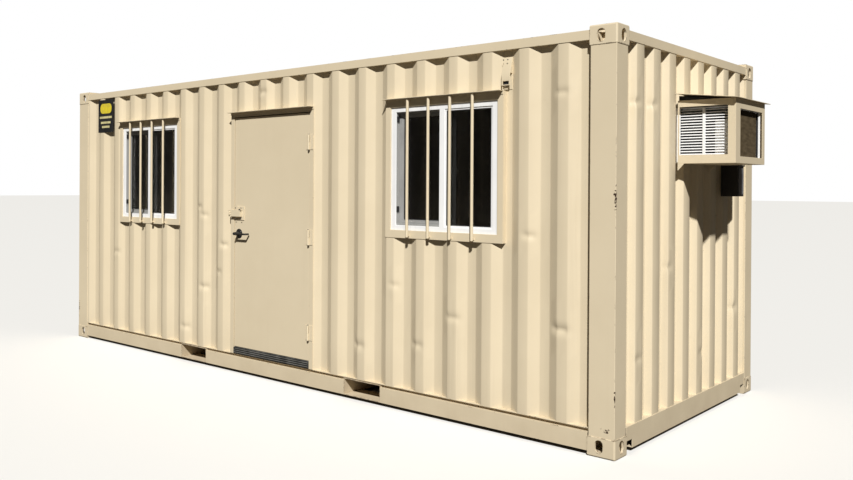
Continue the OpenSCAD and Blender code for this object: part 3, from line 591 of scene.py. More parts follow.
def wornAluminium(name, worn, bright):
    material, tree, shader, place = newMaterial(name)
    brushed = noise(tree, stretched(tree, place, (4.0, 400.0, 400.0)), 1.0, 3.0)
    colour = mixColours(tree, remap(tree, noise(tree, place, 12.0, 5.0), 0.35, 0.7),
        (worn, worn, worn * 0.95, 1), (bright, bright, bright * 0.95, 1))
    tree.links.new(colour, shader.inputs["Base Color"])
    shader.inputs["Metallic"].default_value = 0.6
    tree.links.new(remap(tree, brushed, 0.3, 0.7, 0.35, 0.55), shader.inputs["Roughness"])
    bump = addNode(tree, "Bump", {"Height": brushed, "Strength": 0.15, "Distance": 0.001})
    tree.links.new(bump.outputs["Normal"], shader.inputs["Normal"])
    return material


def panelFacing():
    # white faced lining boards, faintly marbled
    material, tree, shader, place = newMaterial("panelFacing")
    tone = remap(tree, noise(tree, place, 2.2, 6.0, 0.6), 0.3, 0.7)
    colour = mixColours(tree, tone, (0.66, 0.66, 0.63, 1), (0.76, 0.76, 0.73, 1))
    tree.links.new(colour, shader.inputs["Base Color"])
    tree.links.new(remap(tree, noise(tree, place, 30.0), 0.2, 0.8, 0.4, 0.55), shader.inputs["Roughness"])
    bump = addNode(tree, "Bump", {"Height": noise(tree, place, 180.0, 3.0), "Strength": 0.1,
        "Distance": 0.001})
    tree.links.new(bump.outputs["Normal"], shader.inputs["Normal"])
    return material


def plywood():
    material, tree, shader, place = newMaterial("plywood")
    grain = addNode(tree, "TexWave", {"Vector": stretched(tree, place, (1.2, 9.0, 1.0)), "Scale": 1.6,
        "Distortion": 9.0, "Detail": 4.0, "Detail Scale": 1.5}, bands_direction="Y").outputs["Fac"]
    fibre = noise(tree, stretched(tree, place, (6.0, 220.0, 220.0)), 1.0, 4.0)
    colour = mixColours(tree, grain, (0.235, 0.135, 0.06, 1), (0.36, 0.225, 0.11, 1))
    colour = mixColours(tree, remap(tree, fibre, 0.35, 0.7, 0.0, 0.5), colour, (0.16, 0.09, 0.04, 1))
    along = addNode(tree, "SeparateXYZ", {0: place}).outputs["X"]
    joint = calculate(tree, "LESS_THAN", calculate(tree, "PINGPONG", along, 0.61), 0.0015)
    colour = mixColours(tree, joint, colour, (0.02, 0.012, 0.006, 1))
    tree.links.new(colour, shader.inputs["Base Color"])
    tree.links.new(remap(tree, grain, 0.0, 1.0, 0.42, 0.6), shader.inputs["Roughness"])
    bump = addNode(tree, "Bump", {"Height": fibre, "Strength": 0.2, "Distance": 0.001})
    tree.links.new(bump.outputs["Normal"], shader.inputs["Normal"])
    return material


def signInk(name, ink, faded):
    material, tree, shader, place = newMaterial(name)
    fade = remap(tree, noise(tree, place, 35.0, 5.0), 0.35, 0.75)
    tree.links.new(mixColours(tree, fade, ink, faded), shader.inputs["Base Color"])
    tree.links.new(remap(tree, noise(tree, place, 80.0), 0.2, 0.8, 0.35, 0.5), shader.inputs["Roughness"])
    return material


def coilMetal():
    # dusty fins of the cooler
    material, tree, shader, place = newMaterial("coilMetal")
    dust = remap(tree, noise(tree, stretched(tree, place, (6.0, 14.0, 60.0)), 1.0, 4.0), 0.3, 0.7)
    colour = mixColours(tree, dust, (0.050, 0.034, 0.015, 1), (0.092, 0.065, 0.031, 1))
    tree.links.new(colour, shader.inputs["Base Color"])
    tree.links.new(remap(tree, dust, 0.0, 1.0, 0.5, 0.75), shader.inputs["Roughness"])
    return material


def screwSteel():
    material, tree, shader, place = newMaterial("screwSteel")
    tone = remap(tree, noise(tree, place, 120.0, 4.0), 0.3, 0.7)
    tree.links.new(mixColours(tree, tone, (0.16, 0.15, 0.13, 1), (0.34, 0.32, 0.29, 1)),
        shader.inputs["Base Color"])
    shader.inputs["Metallic"].default_value = 0.8
    tree.links.new(remap(tree, tone, 0.0, 1.0, 0.35, 0.55), shader.inputs["Roughness"])
    return material


frameFront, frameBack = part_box("window_frames")[0].y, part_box("window_frames")[1].y
whiteFrame = vinyl("whiteVinyl", vinylShades["dull"], vinylShades["clean"])
# the frame's jambs are greyed inside their depth: painted shade of the recess, with grime
windowFrame = vinyl("windowVinyl", vinylShades["dull"], vinylShades["clean"],
    shadeAndGrimeDepths=(frameFront + 0.005, frameBack - 0.002))
# dark grey plastic for the sashes, their beads, the tracks and the catch: painted shade of the window's
# recess, with grime
shadeAndGrimeVinyl = vinyl("shadeAndGrimeVinyl", vinylShades["shadeAndGrimeDark"], vinylShades["shadeAndGrime"], 0.6)
darkGlass = tintedGlass()
coilFins = coilMetal()
screwMetal = screwSteel()
signYellow = signInk("signYellow", (0.74, 0.60, 0.03, 1), (0.55, 0.45, 0.06, 1))
signPale = signInk("signPale", (0.66, 0.60, 0.30, 1), (0.42, 0.38, 0.2, 1))
blackRubber = blackPlastic("blackRubber", 0.01, 0.7)
blackBox = blackPlastic("blackBox", 0.014, 0.4)
blackMetal = blackPlastic("blackMetal", 0.010, 0.35)
# lighter grey for the switch box's outer cover: painted light, the sunlit side of a black box
sunlitGreyCover = blackPlastic("sunlitGreyCover", 0.120, 0.5)
# dark base and lighter ribs of one aluminium: painted shade between the ribs, painted highlight on them
shadedThresholdMetal = wornAluminium("shadedThresholdMetal", 0.020, 0.055)
highlitRibMetal = wornAluminium("highlitRibMetal", 0.16, 0.34)
liningFace = panelFacing()
floorPlywood = plywood()
print("materials ready")


# walls

wallSheet = {
    "bendRadius": 0.005,  # of the folds in the sheet
    "rowHeight": 0.06,
    "ripple": 0.0014,  # unevenness of the flats
    "keptValley": 0.010,  # depth at the bottom of the waves that no dent moves
    "ringReach": 0.05,  # how far past a dent the mesh is made finer
    "dentDepth": 0.7,  # share of each dent's listed depth
    "creaseReach": 0.6,  # how far a crease spreads, of the dent's radius
}
# each dent as place along the wall, height, radius and depth
frontDents = [(2.66, 2.20, 0.08, 0.010), (2.655, 0.73, 0.10, 0.018), (2.434, 1.30, 0.08, 0.012),
    (1.844, 0.72, 0.09, 0.012), (1.531, 0.50, 0.09, 0.012), (-0.962, 1.43, 0.07, 0.013),
    (-0.890, 1.35, 0.08, 0.013), (-0.890, 0.70, 0.09, 0.015), (-0.613, 1.10, 0.08, 0.017),
    (-0.685, 0.85, 0.08, 0.012), (-2.311, 0.95, 0.09, 0.010), (0.977, 0.42, 0.11, 0.015),
    (1.326, 0.90, 0.08, 0.009), (-0.115, 2.40, 0.09, 0.014),
    (-1.167, 0.32, 0.09, 0.012)]
endDents = [(-0.680, 2.15, 0.08, 0.015), (-0.930, 2.15, 0.08, 0.014), (0.820, 0.70, 0.11, 0.016),
    (-0.430, 1.10, 0.09, 0.010), (0.180, 0.45, 0.11, 0.012), (-0.875, 0.55, 0.09, 0.010)]
backDents = [(1.57, 1.15, 0.10, 0.014), (-0.37, 0.62, 0.11, 0.015), (-2.03, 1.70, 0.09, 0.012),
    (0.74, 2.05, 0.08, 0.010), (2.40, 0.40, 0.11, 0.013)]


def pressDents(piece, dents, along, inward):
    # along picks the wall's own direction from a point, inward is the way a dent goes;
    # the valleys are hidden meanwhile, because the lining lies straight behind them
    mesh = piece.data
    limit = max(vertex.co.dot(inward) for vertex in mesh.vertices) - wallSheet["keptValley"]
    clearMarks(piece)
    mesh.vertices.foreach_set("select", [vertex.co.dot(inward) > limit for vertex in mesh.vertices])
    openMesh(piece, "vertex")
    bpy.ops.mesh.hide(unselected=False)
    closeMesh()
    for place, height, radius, depth in dents:
        shown = [vertex for vertex in mesh.vertices if not vertex.hide]
        near = min(shown, key=lambda v: (along(v.co) - place) ** 2 + (v.co.z - height) ** 2)
        if math.hypot(along(near.co) - place, near.co.z - height) > radius / 2:
            continue
        clearMarks(piece)
        for vertex in shown:
            if abs(vertex.co.z - near.co.z) < 0.004 and abs(along(vertex.co) - along(near.co)) < radius * 0.4:
                vertex.select = True
        openMesh(piece, "vertex")
        bpy.ops.transform.translate(value=inward * depth * wallSheet["dentDepth"], use_proportional_edit=True,
            proportional_edit_falloff="SHARP", proportional_size=radius * wallSheet["creaseReach"])
        closeMesh()
    openMesh(piece, "vertex")
    bpy.ops.mesh.reveal(select=False)
    closeMesh()


def makeWall(node, name, dents, along, inward):
    piece = copyNode(node, name)
    pickBends(piece, 20, 75)
    bpy.ops.mesh.bevel(offset=wallSheet["bendRadius"], segments=2, affect="EDGES", clamp_overlap=False)
    closeMesh()
    low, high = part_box(node)
    row = math.ceil(low.z / wallSheet["rowHeight"]) * wallSheet["rowHeight"]
    openMesh(piece, "face")
    while row < high.z:
        bpy.ops.mesh.select_all(action="SELECT")
        bpy.ops.mesh.bisect(plane_co=(0, 0, row), plane_no=(0, 0, 1))
        row += wallSheet["rowHeight"]
    closeMesh()
    reach = wallSheet["ringReach"]
    pickFaces(piece, lambda centre, normal: abs(normal.z) < 0.5 and any(
        math.hypot(along(centre) - dent[0], centre.z - dent[1]) < dent[2] + reach for dent in dents))
    bpy.ops.mesh.subdivide(number_cuts=3)
    closeMesh()
    pressDents(piece, dents, along, inward)
    useModifier(piece, "DISPLACE", texture=rippleClouds, texture_coords="GLOBAL",
        direction="Y" if abs(inward.y) > 0.5 else "X", strength=wallSheet["ripple"], mid_level=0.5)
    smoothFaces(piece, 50)
    return finishPiece(piece, wallPaint, standsFor=[node])


rippleClouds = bpy.data.textures.new("rippleClouds", "CLOUDS")
rippleClouds.noise_scale = 0.22


def alongX(point):
    return point.x


def alongY(point):
    return point.y


for node, name in (("front_wall_panels", "frontWallPanels"), ("front_wall_sills", "frontWallSills"),
        ("front_wall_heads", "frontWallHeads")):
    makeWall(node, name, frontDents, alongX, Vector((0, 1, 0)))
makeWall("back_wall", "backWall", backDents, alongX, Vector((0, -1, 0)))
makeWall("right_end_wall", "rightEndWall", endDents, alongY, Vector((-1, 0, 0)))
makeWall("left_end_wall", "leftEndWall", endDents[2:], alongY, Vector((1, 0, 0)))
print("walls ready")


# frame and plain steel pieces

def softenNode(node, name, material, width, segments=2, slot="cabin_paint", body="cabin"):
    piece = copyNode(node, name)
    roundEdges(piece, width, segments)
    return finishPiece(piece, material, body, [node])


casting = {
    "cornerRadius": 0.011,
    "slotRadius": 0.0025,
    "weldRadius": 0.0035,  # of the bead between a casting and its post
    "weldLump": 0.0022,
    "weldReach": (0.168, 0.152),  # from the cabin's corner along X and along Y
    "weldEnd": 0.006,
    "weldCuts": 36,
}


def makeFittings(node, name):
    piece = copyNode(node, name)
    low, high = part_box(node)
    planes = [(0, high.x), (1, high.y), (2, high.z if high.z > 1 else low.z)]

    def outer(first, second):
        return sum(abs(abs(first[axis]) - value) < 0.0005 and abs(abs(second[axis]) - value) < 0.0005
            for axis, value in planes) > 1

    pickEdges(piece, outer)
    bpy.ops.mesh.bevel(offset=casting["cornerRadius"], segments=4, affect="EDGES", clamp_overlap=False)
    closeMesh()
    roundEdges(piece, casting["slotRadius"], 2, 40)
    keepInside(piece, low, high)
    return finishPiece(piece, castPaint, standsFor=[node])


def makeWelds():
    # lumpy beads along the outer faces where the posts meet the castings
    low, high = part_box("corner_posts")
    reachX, reachY = casting["weldReach"]
    end = casting["weldEnd"]
    beads = []
    for height in (low.z, high.z):
        for sideX in (-1, 1):
            for sideY in (-1, 1):
                corner = Vector((high.x * sideX, high.y * sideY, height))
                beads.append(addRod("weld", corner - Vector((reachX * sideX, 0, 0)),
                    corner - Vector((end * sideX, 0, 0)), casting["weldRadius"], 10))
                beads.append(addRod("weld", corner - Vector((0, reachY * sideY, 0)),
                    corner - Vector((0, end * sideY, 0)), casting["weldRadius"], 10))
    piece = joinPieces("cornerWelds", beads)
    pickEdges(piece, lambda first, second: (first - second).length > 0.1)
    bpy.ops.mesh.subdivide(number_cuts=casting["weldCuts"])
    closeMesh()
    lumps = bpy.data.textures.new("weldLumps", "CLOUDS")
    lumps.noise_scale = 0.006
    useModifier(piece, "DISPLACE", texture=lumps, texture_coords="GLOBAL", strength=casting["weldLump"],
        mid_level=0.5)
    keepInside(piece, *cadBox)
    smoothFaces(piece, 60)
    return finishPiece(piece, castPaint)


makeFittings("bottom_fittings", "bottomFittings")
makeFittings("top_fittings", "topFittings")
makeWelds()
# each with its material, the width of its rounded edges, and where it differs the number of steps,
# the slot and the body
plainPieces = (
    ("corner_posts", "cornerPosts", postPaint, 0.006, 3),
    ("bottom_side_rails", "bottomSideRails", railPaint, 0.0015),
    ("bottom_end_rails", "bottomEndRails", railPaint, 0.0015),
    ("top_side_rails", "topSideRails", railPaint, 0.0015),
    ("top_end_rails", "topEndRails", railPaint, 0.0015),
    ("fork_pockets", "forkPockets", underPaint, 0.0015),
    ("window_surrounds", "windowSurrounds", trimPaint, 0.0012),
    ("door_frame", "doorFrame", trimPaint, 0.0012),
    ("drip_caps", "dripCaps", trimPaint, 0.0015),
    ("roof_sheet", "roofSheet", roofPaint, 0.0006),
    ("floor_beams", "floorBeams", underPaint, 0.001),
    ("hinge_frame_halves", "hingeFrameHalves", trimPaint, 0.001),
    ("hinge_door_halves", "hingeDoorHalves", trimPaint, 0.001, 2, "cabin_paint", "door"),
    ("hasp_staple", "haspStaple", trimPaint, 0.001),
    ("hasp_strap", "haspStrap", trimPaint, 0.0012, 2, "cabin_paint", "door"),
    ("lock_plate", "lockPlate", trimPaint, 0.0015, 3, "cabin_paint", "door"),
    ("lever_roses", "leverRoses", blackMetal, 0.003, 3, "lever_metal", "door"),
    ("door_lever", "doorLever", blackMetal, 0.001, 2, "lever_metal", "lever"),
    ("cooler_cage", "coolerCage", trimPaint, 0.0015),
    ("cooler_cage_roof", "coolerCageRoof", trimPaint, 0.001),
    ("window_frames", "windowFrames", windowFrame, 0.003, 3, "window_plastic"),
    ("window_sashes", "windowSashes", shadeAndGrimeVinyl, 0.003, 3, "window_plastic"),
    ("window_panes", "windowPanes", darkGlass, 0.0008, 1, "glass"),
    ("door_leaf", "doorLeaf", doorPaint, 0.002, 2, "cabin_paint", "door"),
)
for settings in plainPieces:
    softenNode(*settings)
for node in ("front_lining_panels", "front_lining_sills", "front_lining_heads", "back_lining",
        "left_end_lining", "right_end_lining", "ceiling_panel"):
    nodes[node].data.materials.clear()
    nodes[node].data.materials.append(liningFace)
nodes["floor_boards"].data.materials.clear()
nodes["floor_boards"].data.materials.append(floorPlywood)
print("frame ready")


# windows

windowParts = {
    "barSpacing": 0.184,
    "barRadius": 0.0105,
    "barCount": 4,
    "barOut": 0.029,  # from the surround's face to the bar's middle
    "barFoot": 0.010,  # from the surround's lower edge to the bar's end
    "barTip": 0.004,
    "tabWidth": 0.005,
    "tabHeight": 0.014,
    "beadWidth": 0.011,
    "beadDepth": 0.006,
    "gasketWidth": 0.006,
    "gasketDepth": 0.003,
    "trackHeight": 0.012,
    "trackDepth": 0.004,
    "trackPlaces": (0.014, 0.031),  # behind the frame's face
    "blockSize": (0.008, 0.026, 0.042),
    "blockHeights": (0.13, 0.78),  # above the frame's lower edge
    "blockIn": 0.006,  # behind the frame's face
    "gasketGap": 0.0002,  # between the rubber and the bead
    "catchHeight": 0.42,
    "catchIn": 0.014,  # from the sash's edge
    "catchPlate": (0.010, 0.006, 0.028),  # half its width, its thickness, half its height
    "thumbOut": 0.020,
    "thumbRadius": 0.008,
    "paneIn": 0.0095,  # from the sash's face to its pane
    "frameBar": 0.046,
    "frameFoot": 0.036,
}


def addBar(place, foot, head, face):
    # upright bar with a narrowed lower end, on a tab of the surround
    out, radius = windowParts["barOut"], windowParts["barRadius"]
    bar = addRod("bar", (place, face - out, foot), (place, face - out, head), radius, 20)
    pickFaces(bar, lambda centre, normal: normal.z < -0.9)
    bpy.ops.mesh.inset(thickness=radius * 0.35, depth=windowParts["barTip"])
    closeMesh()
    wide, tall = windowParts["tabWidth"], windowParts["tabHeight"]
    tab = addBlock("tab", (place - wide / 2, face - out, foot + wide),
        (place + wide / 2, face, foot + wide + tall))
    return joinPieces("bar", [bar, tab])


def makeWindowBars():
    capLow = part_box("drip_caps")[0]
    bars = []
    for side in (-1, 1):
        low, high = halfBox("window_frames", side)
        surroundLow = halfBox("window_surrounds", side)[0]
        middle = (low.x + high.x) / 2
        for number in range(windowParts["barCount"]):
            step = number - (windowParts["barCount"] - 1) / 2
            bars.append(addBar(middle + step * windowParts["barSpacing"],
                surroundLow.z + windowParts["barFoot"],
                capLow.z + 0.0195, surroundLow.y))
    piece = joinPieces("windowBars", bars)
    smoothFaces(piece, 30)
    finishPiece(piece, trimPaint)


def makeSurroundReturns():
    # the surround's edges turned in to the wall
    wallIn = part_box("front_lining_panels")[0].y - 0.0025
    returns = []
    for side in (-1, 1):
        low, high = halfBox("window_surrounds", side)
        for edge, way in ((low.x, 1), (high.x, -1)):
            first, second = sorted((edge + way * 0.001, edge + way * 0.004))
            returns.append(addBlock("return", (first, low.y + 0.001, low.z + 0.001),
                (second, wallIn, high.z - 0.001)))
    piece = joinPieces("surroundReturns", returns)
    roundEdges(piece, 0.0008)
    finishPiece(piece, trimPaint)


def makeGlazing():
    # beads and rubber round each pane, tracks, black blocks on the jamb standing in for the shade of its
    # holes (painted shade), and the catch
    beads, sashBeads, rubbers, tracks, blocks = [], [], [], [], []
    bar, foot = windowParts["frameBar"], windowParts["frameFoot"]
    for side in (-1, 1):
        low, high = halfBox("window_frames", side)
        sashLow, sashHigh = halfBox("window_sashes", side)
        middle = (low.x + high.x) / 2
        paneFace = halfBox("window_panes", side)[0].y
        fixedLow = Vector((middle + bar / 2, 0, low.z + foot))
        fixedHigh = Vector((high.x - bar, 0, high.z - foot))
        member = halfBox("window_panes", side)[0].x - sashLow.x
        sashPaneLow = Vector((sashLow.x + member, 0, sashLow.z + member))
        sashPaneHigh = Vector((sashHigh.x - member, 0, sashHigh.z - member))
        paneBack = sashLow.y + windowParts["paneIn"]
        for paneLow, paneHigh, face, shelf in ((fixedLow, fixedHigh, paneFace, beads),
                (sashPaneLow, sashPaneHigh, paneBack, sashBeads)):
            out = windowParts["gasketDepth"]
            rubbers.append(addRing("rubber", (paneLow.x, face - out, paneLow.z),
                (paneHigh.x, face, paneHigh.z),
                windowParts["beadWidth"] + windowParts["gasketWidth"]))
            shelf.append(addRing("bead", (paneLow.x, face - windowParts["beadDepth"], paneLow.z),
                (paneHigh.x, face - out - windowParts["gasketGap"], paneHigh.z), windowParts["beadWidth"]))
        left = low.x + bar
        for depth in windowParts["trackPlaces"]:
            for lower, upper in ((low.z + foot, low.z + foot + windowParts["trackHeight"]),
                    (high.z - foot - windowParts["trackHeight"], high.z - foot)):
                tracks.append(addBlock("track", (left, low.y + depth, lower),
                    (middle - bar / 2, low.y + depth + windowParts["trackDepth"], upper)))
        # black blocks on the jamb: painted shade of the jamb's holes
        wide, deep, tall = windowParts["blockSize"]
        for height in windowParts["blockHeights"]:
            blocks.append(addBlock("block", (left, low.y + windowParts["blockIn"], low.z + height),
                (left + wide, low.y + windowParts["blockIn"] + deep, low.z + height + tall)))
        catch = Vector((sashHigh.x - windowParts["catchIn"], sashHigh.y, low.z + windowParts["catchHeight"]))
        wide, deep, tall = windowParts["catchPlate"]
        plate = addBlock("catch", catch - Vector((wide, 0, tall)), catch + Vector((wide, deep, tall)))
        thumbHeight = catch.z + windowParts["thumbRadius"]
        thumb = addRod("catch", (catch.x, catch.y + deep, thumbHeight),
            (catch.x, catch.y + windowParts["thumbOut"], thumbHeight), windowParts["thumbRadius"], 16)
        tracks += [plate, thumb]
    for name, parts, material, width in (("glazingBeads", beads, whiteFrame, 0.0015),
            ("sashBeads", sashBeads, shadeAndGrimeVinyl, 0.0015),
            ("glazingRubber", rubbers, blackRubber, 0.0005), ("windowTracks", tracks, shadeAndGrimeVinyl, 0.0012),
            ("windowHoleShades", blocks, blackRubber, 0.003)):
        piece = joinPieces(name, parts)
        roundEdges(piece, width)
        finishPiece(piece, material)


makeWindowBars()
makeSurroundReturns()
makeGlazing()
print("windows ready")


# door fittings

doorParts = {
    "ribCount": 3,  # on the threshold's face
    "ribTop": 0.010,
    "ribStep": 0.016,
    "treadCount": 5,  # ribs on its top
    "treadStart": 0.012,
    "treadStep": 0.018,
    "ribEnd": 0.004,
    "ribRadius": 0.003,
    "faceRibRadius": 0.004,
    "pinRadius": 0.0075,
    "pinHead": 0.005,
    "hubRadius": 0.019,
    "screwRadius": 0.0055,
    "screwInset": 0.012,
    "keyRadius": 0.013,
    "sealGap": 0.0065,  # behind the leaf
    "sealDepth": 0.008,
    "sealReach": 0.0075,  # past the leaf's edge
    "sealLap": 0.010,  # over the leaf's edge
    "shieldRadius": 0.041,
    "shieldThickness": 0.004,
}


def makeThreshold():
    low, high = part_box("door_threshold")
    piece = copyNode("door_threshold", "doorThreshold")
    roundEdges(piece, 0.002)
    finishPiece(piece, shadedThresholdMetal, standsFor=["door_threshold"])
    start, end = low.x + doorParts["ribEnd"], high.x - doorParts["ribEnd"]
    # the ribs are lighter than the base: painted highlight on the ribs
    ribs = []
    for number in range(doorParts["ribCount"]):
        height = high.z - doorParts["ribTop"] - number * doorParts["ribStep"]
        ribs.append(addRod("rib", (start, low.y, height), (end, low.y, height), doorParts["faceRibRadius"],
            12))
    for number in range(doorParts["treadCount"]):
        depth = low.y + doorParts["treadStart"] + number * doorParts["treadStep"]
        ribs.append(addRod("rib", (start, depth, high.z), (end, depth, high.z), doorParts["ribRadius"], 12))
    piece = joinPieces("thresholdRibs", ribs)
    roundEdges(piece, 0.001)
    finishPiece(piece, highlitRibMetal)


def makeHingePins():
    # a domed head under and over each hinge
    hinge = next(joint for joint in frame["joints"] if joint["name"] == "door_hinge")
    place = Vector(hinge["pos_m"])
    node = nodes["hinge_frame_halves"].data
    heights = sorted({round(vertex.co.z, 3) for vertex in node.vertices})
    ends = [heights[0]]
    for before, after in zip(heights, heights[1:]):
        if after - before > 0.3:
            ends += [before, after]
    ends.append(heights[-1])
    heads = []
    for number, height in enumerate(ends):
        way = -1 if number % 2 == 0 else 1
        head = addRod("pinHead", (place.x, place.y, height), (place.x, place.y,
            height + way * doorParts["pinHead"]),
            doorParts["pinRadius"], 20)
        heads.append(head)
    piece = joinPieces("hingePins", heads)
    roundEdges(piece, 0.0015, 3)
    finishPiece(piece, screwMetal)


def makeLockDetail():
    low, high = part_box("lock_plate")
    inset = doorParts["screwInset"]
    number = 0
    for x in (low.x + inset, high.x - inset):
        for z in (low.z + inset, high.z - inset):
            number += 1
            addScrew("lockScrew" + str(number), (x, low.y, z), doorParts["screwRadius"], (0, -1, 0),
                screwMetal,
                "door")
    middle = Vector((high.x - 0.030, low.y, high.z - 0.030))
    key = addRod("keyCylinder", middle, middle - Vector((0, 0.004, 0)), doorParts["keyRadius"], 32)
    slot = addBlock("cut", (middle.x - 0.0012, middle.y - 0.006, middle.z - 0.006),
        (middle.x + 0.0012, middle.y - 0.001, middle.z + 0.006))
    cutAway(key, slot)
    roundEdges(key, 0.0008)
    finishPiece(key, screwMetal, "door")


def makeLeverHubs():
    turn = next(joint for joint in frame["joints"] if joint["name"] == "lever_turn")
    place = Vector(turn["pos_m"])
    low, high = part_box("lever_roses")
    leverLow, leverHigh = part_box("door_lever")
    hubs = []
    for face, end in ((low.y - 0.0006, leverLow.y), (high.y + 0.0006, leverHigh.y)):
        hub = addRod("hub", (place.x, face, place.z), (place.x, end, place.z), doorParts["hubRadius"], 32)
        way = 1 if end > face else -1
        pickFaces(hub, lambda centre, normal: normal.y * way > 0.9)
        bpy.ops.transform.resize(value=(0.62, 1, 0.62), center_override=(place.x, end, place.z))
        closeMesh()
        hubs.append(hub)
    piece = joinPieces("leverHubs", hubs)
    roundEdges(piece, 0.002, 3)
    finishPiece(piece, blackMetal, "lever")


def makeLeverShield():
    # round black plate between the leaf and the outer rose
    place = Vector(next(joint for joint in frame["joints"] if joint["name"] == "lever_turn")["pos_m"])
    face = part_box("door_leaf")[0].y
    piece = addRod("leverShield", (place.x, face, place.z), (place.x, face - doorParts["shieldThickness"],
        place.z),
        doorParts["shieldRadius"], 48)
    roundEdges(piece, 0.0015, 3)
    finishPiece(piece, blackMetal, "door")


def makeDoorSeal():
    # a soft strip round the frame, behind the leaf's edge
    leafLow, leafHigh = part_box("door_leaf")
    face = leafHigh.y + doorParts["sealGap"]
    back = face + doorParts["sealDepth"]
    reach, lap = doorParts["sealReach"], doorParts["sealLap"]
    strips = []
    for first, last in ((leafLow.x - reach, leafLow.x + lap), (leafHigh.x - lap, leafHigh.x + reach)):
        strips.append(addBlock("seal", (first, face, leafLow.z), (last, back, leafHigh.z)))
    strips.append(addBlock("seal", (leafLow.x - reach, face, leafHigh.z - lap),
        (leafHigh.x + reach, back, leafHigh.z + reach)))
    piece = joinPieces("doorSeal", strips)
    roundEdges(piece, 0.003, 3)
    finishPiece(piece, blackRubber)


makeThreshold()
makeHingePins()
makeLockDetail()
makeLeverHubs()
makeLeverShield()
makeDoorSeal()
print("door ready")


# vent, sign, cooler and switch box

ventParts = {
    "mouthHeight": 0.022,
    "mouthFoot": 0.030,
    "mouthSide": 0.010,
    "screwRadius": 0.0045,
}


def makeVent():
    low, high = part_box("vent_cover")
    piece = copyNode("vent_cover", "ventCover")
    mouth = addBlock("cut", (low.x + ventParts["mouthSide"], low.y - 0.01, low.z + ventParts["mouthFoot"]),
        (high.x - ventParts["mouthSide"], low.y + 0.012,
        low.z + ventParts["mouthFoot"] + ventParts["mouthHeight"]))
    cutAway(piece, mouth)
    roundEdges(piece, 0.0015, 2)
    finishPiece(piece, trimPaint, standsFor=["vent_cover"])
    middle = (low.x + high.x) / 2
    # black block behind the slot: painted shade inside the vent's mouth
    slot = addBlock("ventMouthShade", (low.x + ventParts["mouthSide"], low.y + 0.010,
        low.z + ventParts["mouthFoot"]),
        (high.x - ventParts["mouthSide"], low.y + 0.0118,
        low.z + ventParts["mouthFoot"] + ventParts["mouthHeight"]))
    roundEdges(slot, 0.0004)
    finishPiece(slot, blackRubber)
    for number, (x, z) in enumerate(((middle - 0.016, high.z - 0.018), (middle + 0.016, high.z - 0.018),
            (middle, low.z + 0.014))):
        addScrew("ventScrew" + str(number + 1), (x, low.y, z), ventParts["screwRadius"], (0, -1, 0),
            screwMetal)


signParts = {
    "raised": 0.0006,
    "patchSides": (0.14, 0.12),  # what it leaves free left and right, of the plate's width
    "patchEnds": (0.42, 0.12),  # from the plate's top to the patch's foot and head, of its height
    "patchRound": 0.13,
    "barHalf": 0.032,  # half a bar's height, of the plate's height
    "barHeights": (0.46, 0.30, 0.17),  # middles of the bars, of the plate's height
    "barLengths": (0.80, 0.64, 0.50),
}


def makeSign():
    low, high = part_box("sign_plate")
    wide, tall = high.x - low.x, high.z - low.z
    piece = copyNode("sign_plate", "signPlate")
    roundEdges(piece, 0.0008)
    finishPiece(piece, blackBox, standsFor=["sign_plate"])
    front = low.y - signParts["raised"]
    back = low.y + 0.0002
    left, right = signParts["patchSides"]
    foot, head = signParts["patchEnds"]
    patch = addBlock("signPatch", (low.x + wide * left, front, high.z - tall * foot),
        (high.x - wide * right, back, high.z - tall * head))
    pickEdges(patch, lambda first, second: abs(first.y - second.y) > signParts["raised"] / 2)
    bpy.ops.mesh.bevel(offset=tall * signParts["patchRound"], segments=8, affect="EDGES", clamp_overlap=False)
    closeMesh()
    roundEdges(patch, 0.0002, 1)
    finishPiece(patch, signYellow)
    bars = []
    for height, length in zip(signParts["barHeights"], signParts["barLengths"]):
        middle = (low.x + high.x) / 2
        bars.append(addBlock("bar", (middle - wide * length / 2, front,
            low.z + tall * (height - signParts["barHalf"])),
            (middle + wide * length / 2, back, low.z + tall * (height + signParts["barHalf"]))))
    piece = joinPieces("signBars", bars)
    roundEdges(piece, 0.0002, 1)
    finishPiece(piece, signPale)


coolerParts = {
    "slatEnds": (0.001, 0.050),  # from the cage's wall side and outer side
    "slatFoot": 0.052,  # above the case's foot
    "slatHead": 0.006,  # below the case's top
    "slatCount": 17,
    "roomSlatCount": 16,
    "shadeLiner": 0.0006,  # thickness of the black boards on a pocket's ends, painted shade in the pocket
    "slatThickness": 0.0035,
    "slatDepth": 0.010,
    "slatDrop": 0.005,
    "pocketDepth": 0.034,
    "postWidth": 0.018,
    "coverHead": 0.080,  # below the opening's top
    "coverWidth": 0.082,
    "coverEnd": 0.018,  # from the opening's outer end
    "coilDepth": 0.036,
    "finPitch": 0.0042,
    "finThickness": 0.0009,
    "coilGap": 0.020,  # gap between the fins and the white strip, where the black board behind shows as painted shade
    "stripWidth": 0.012,
}


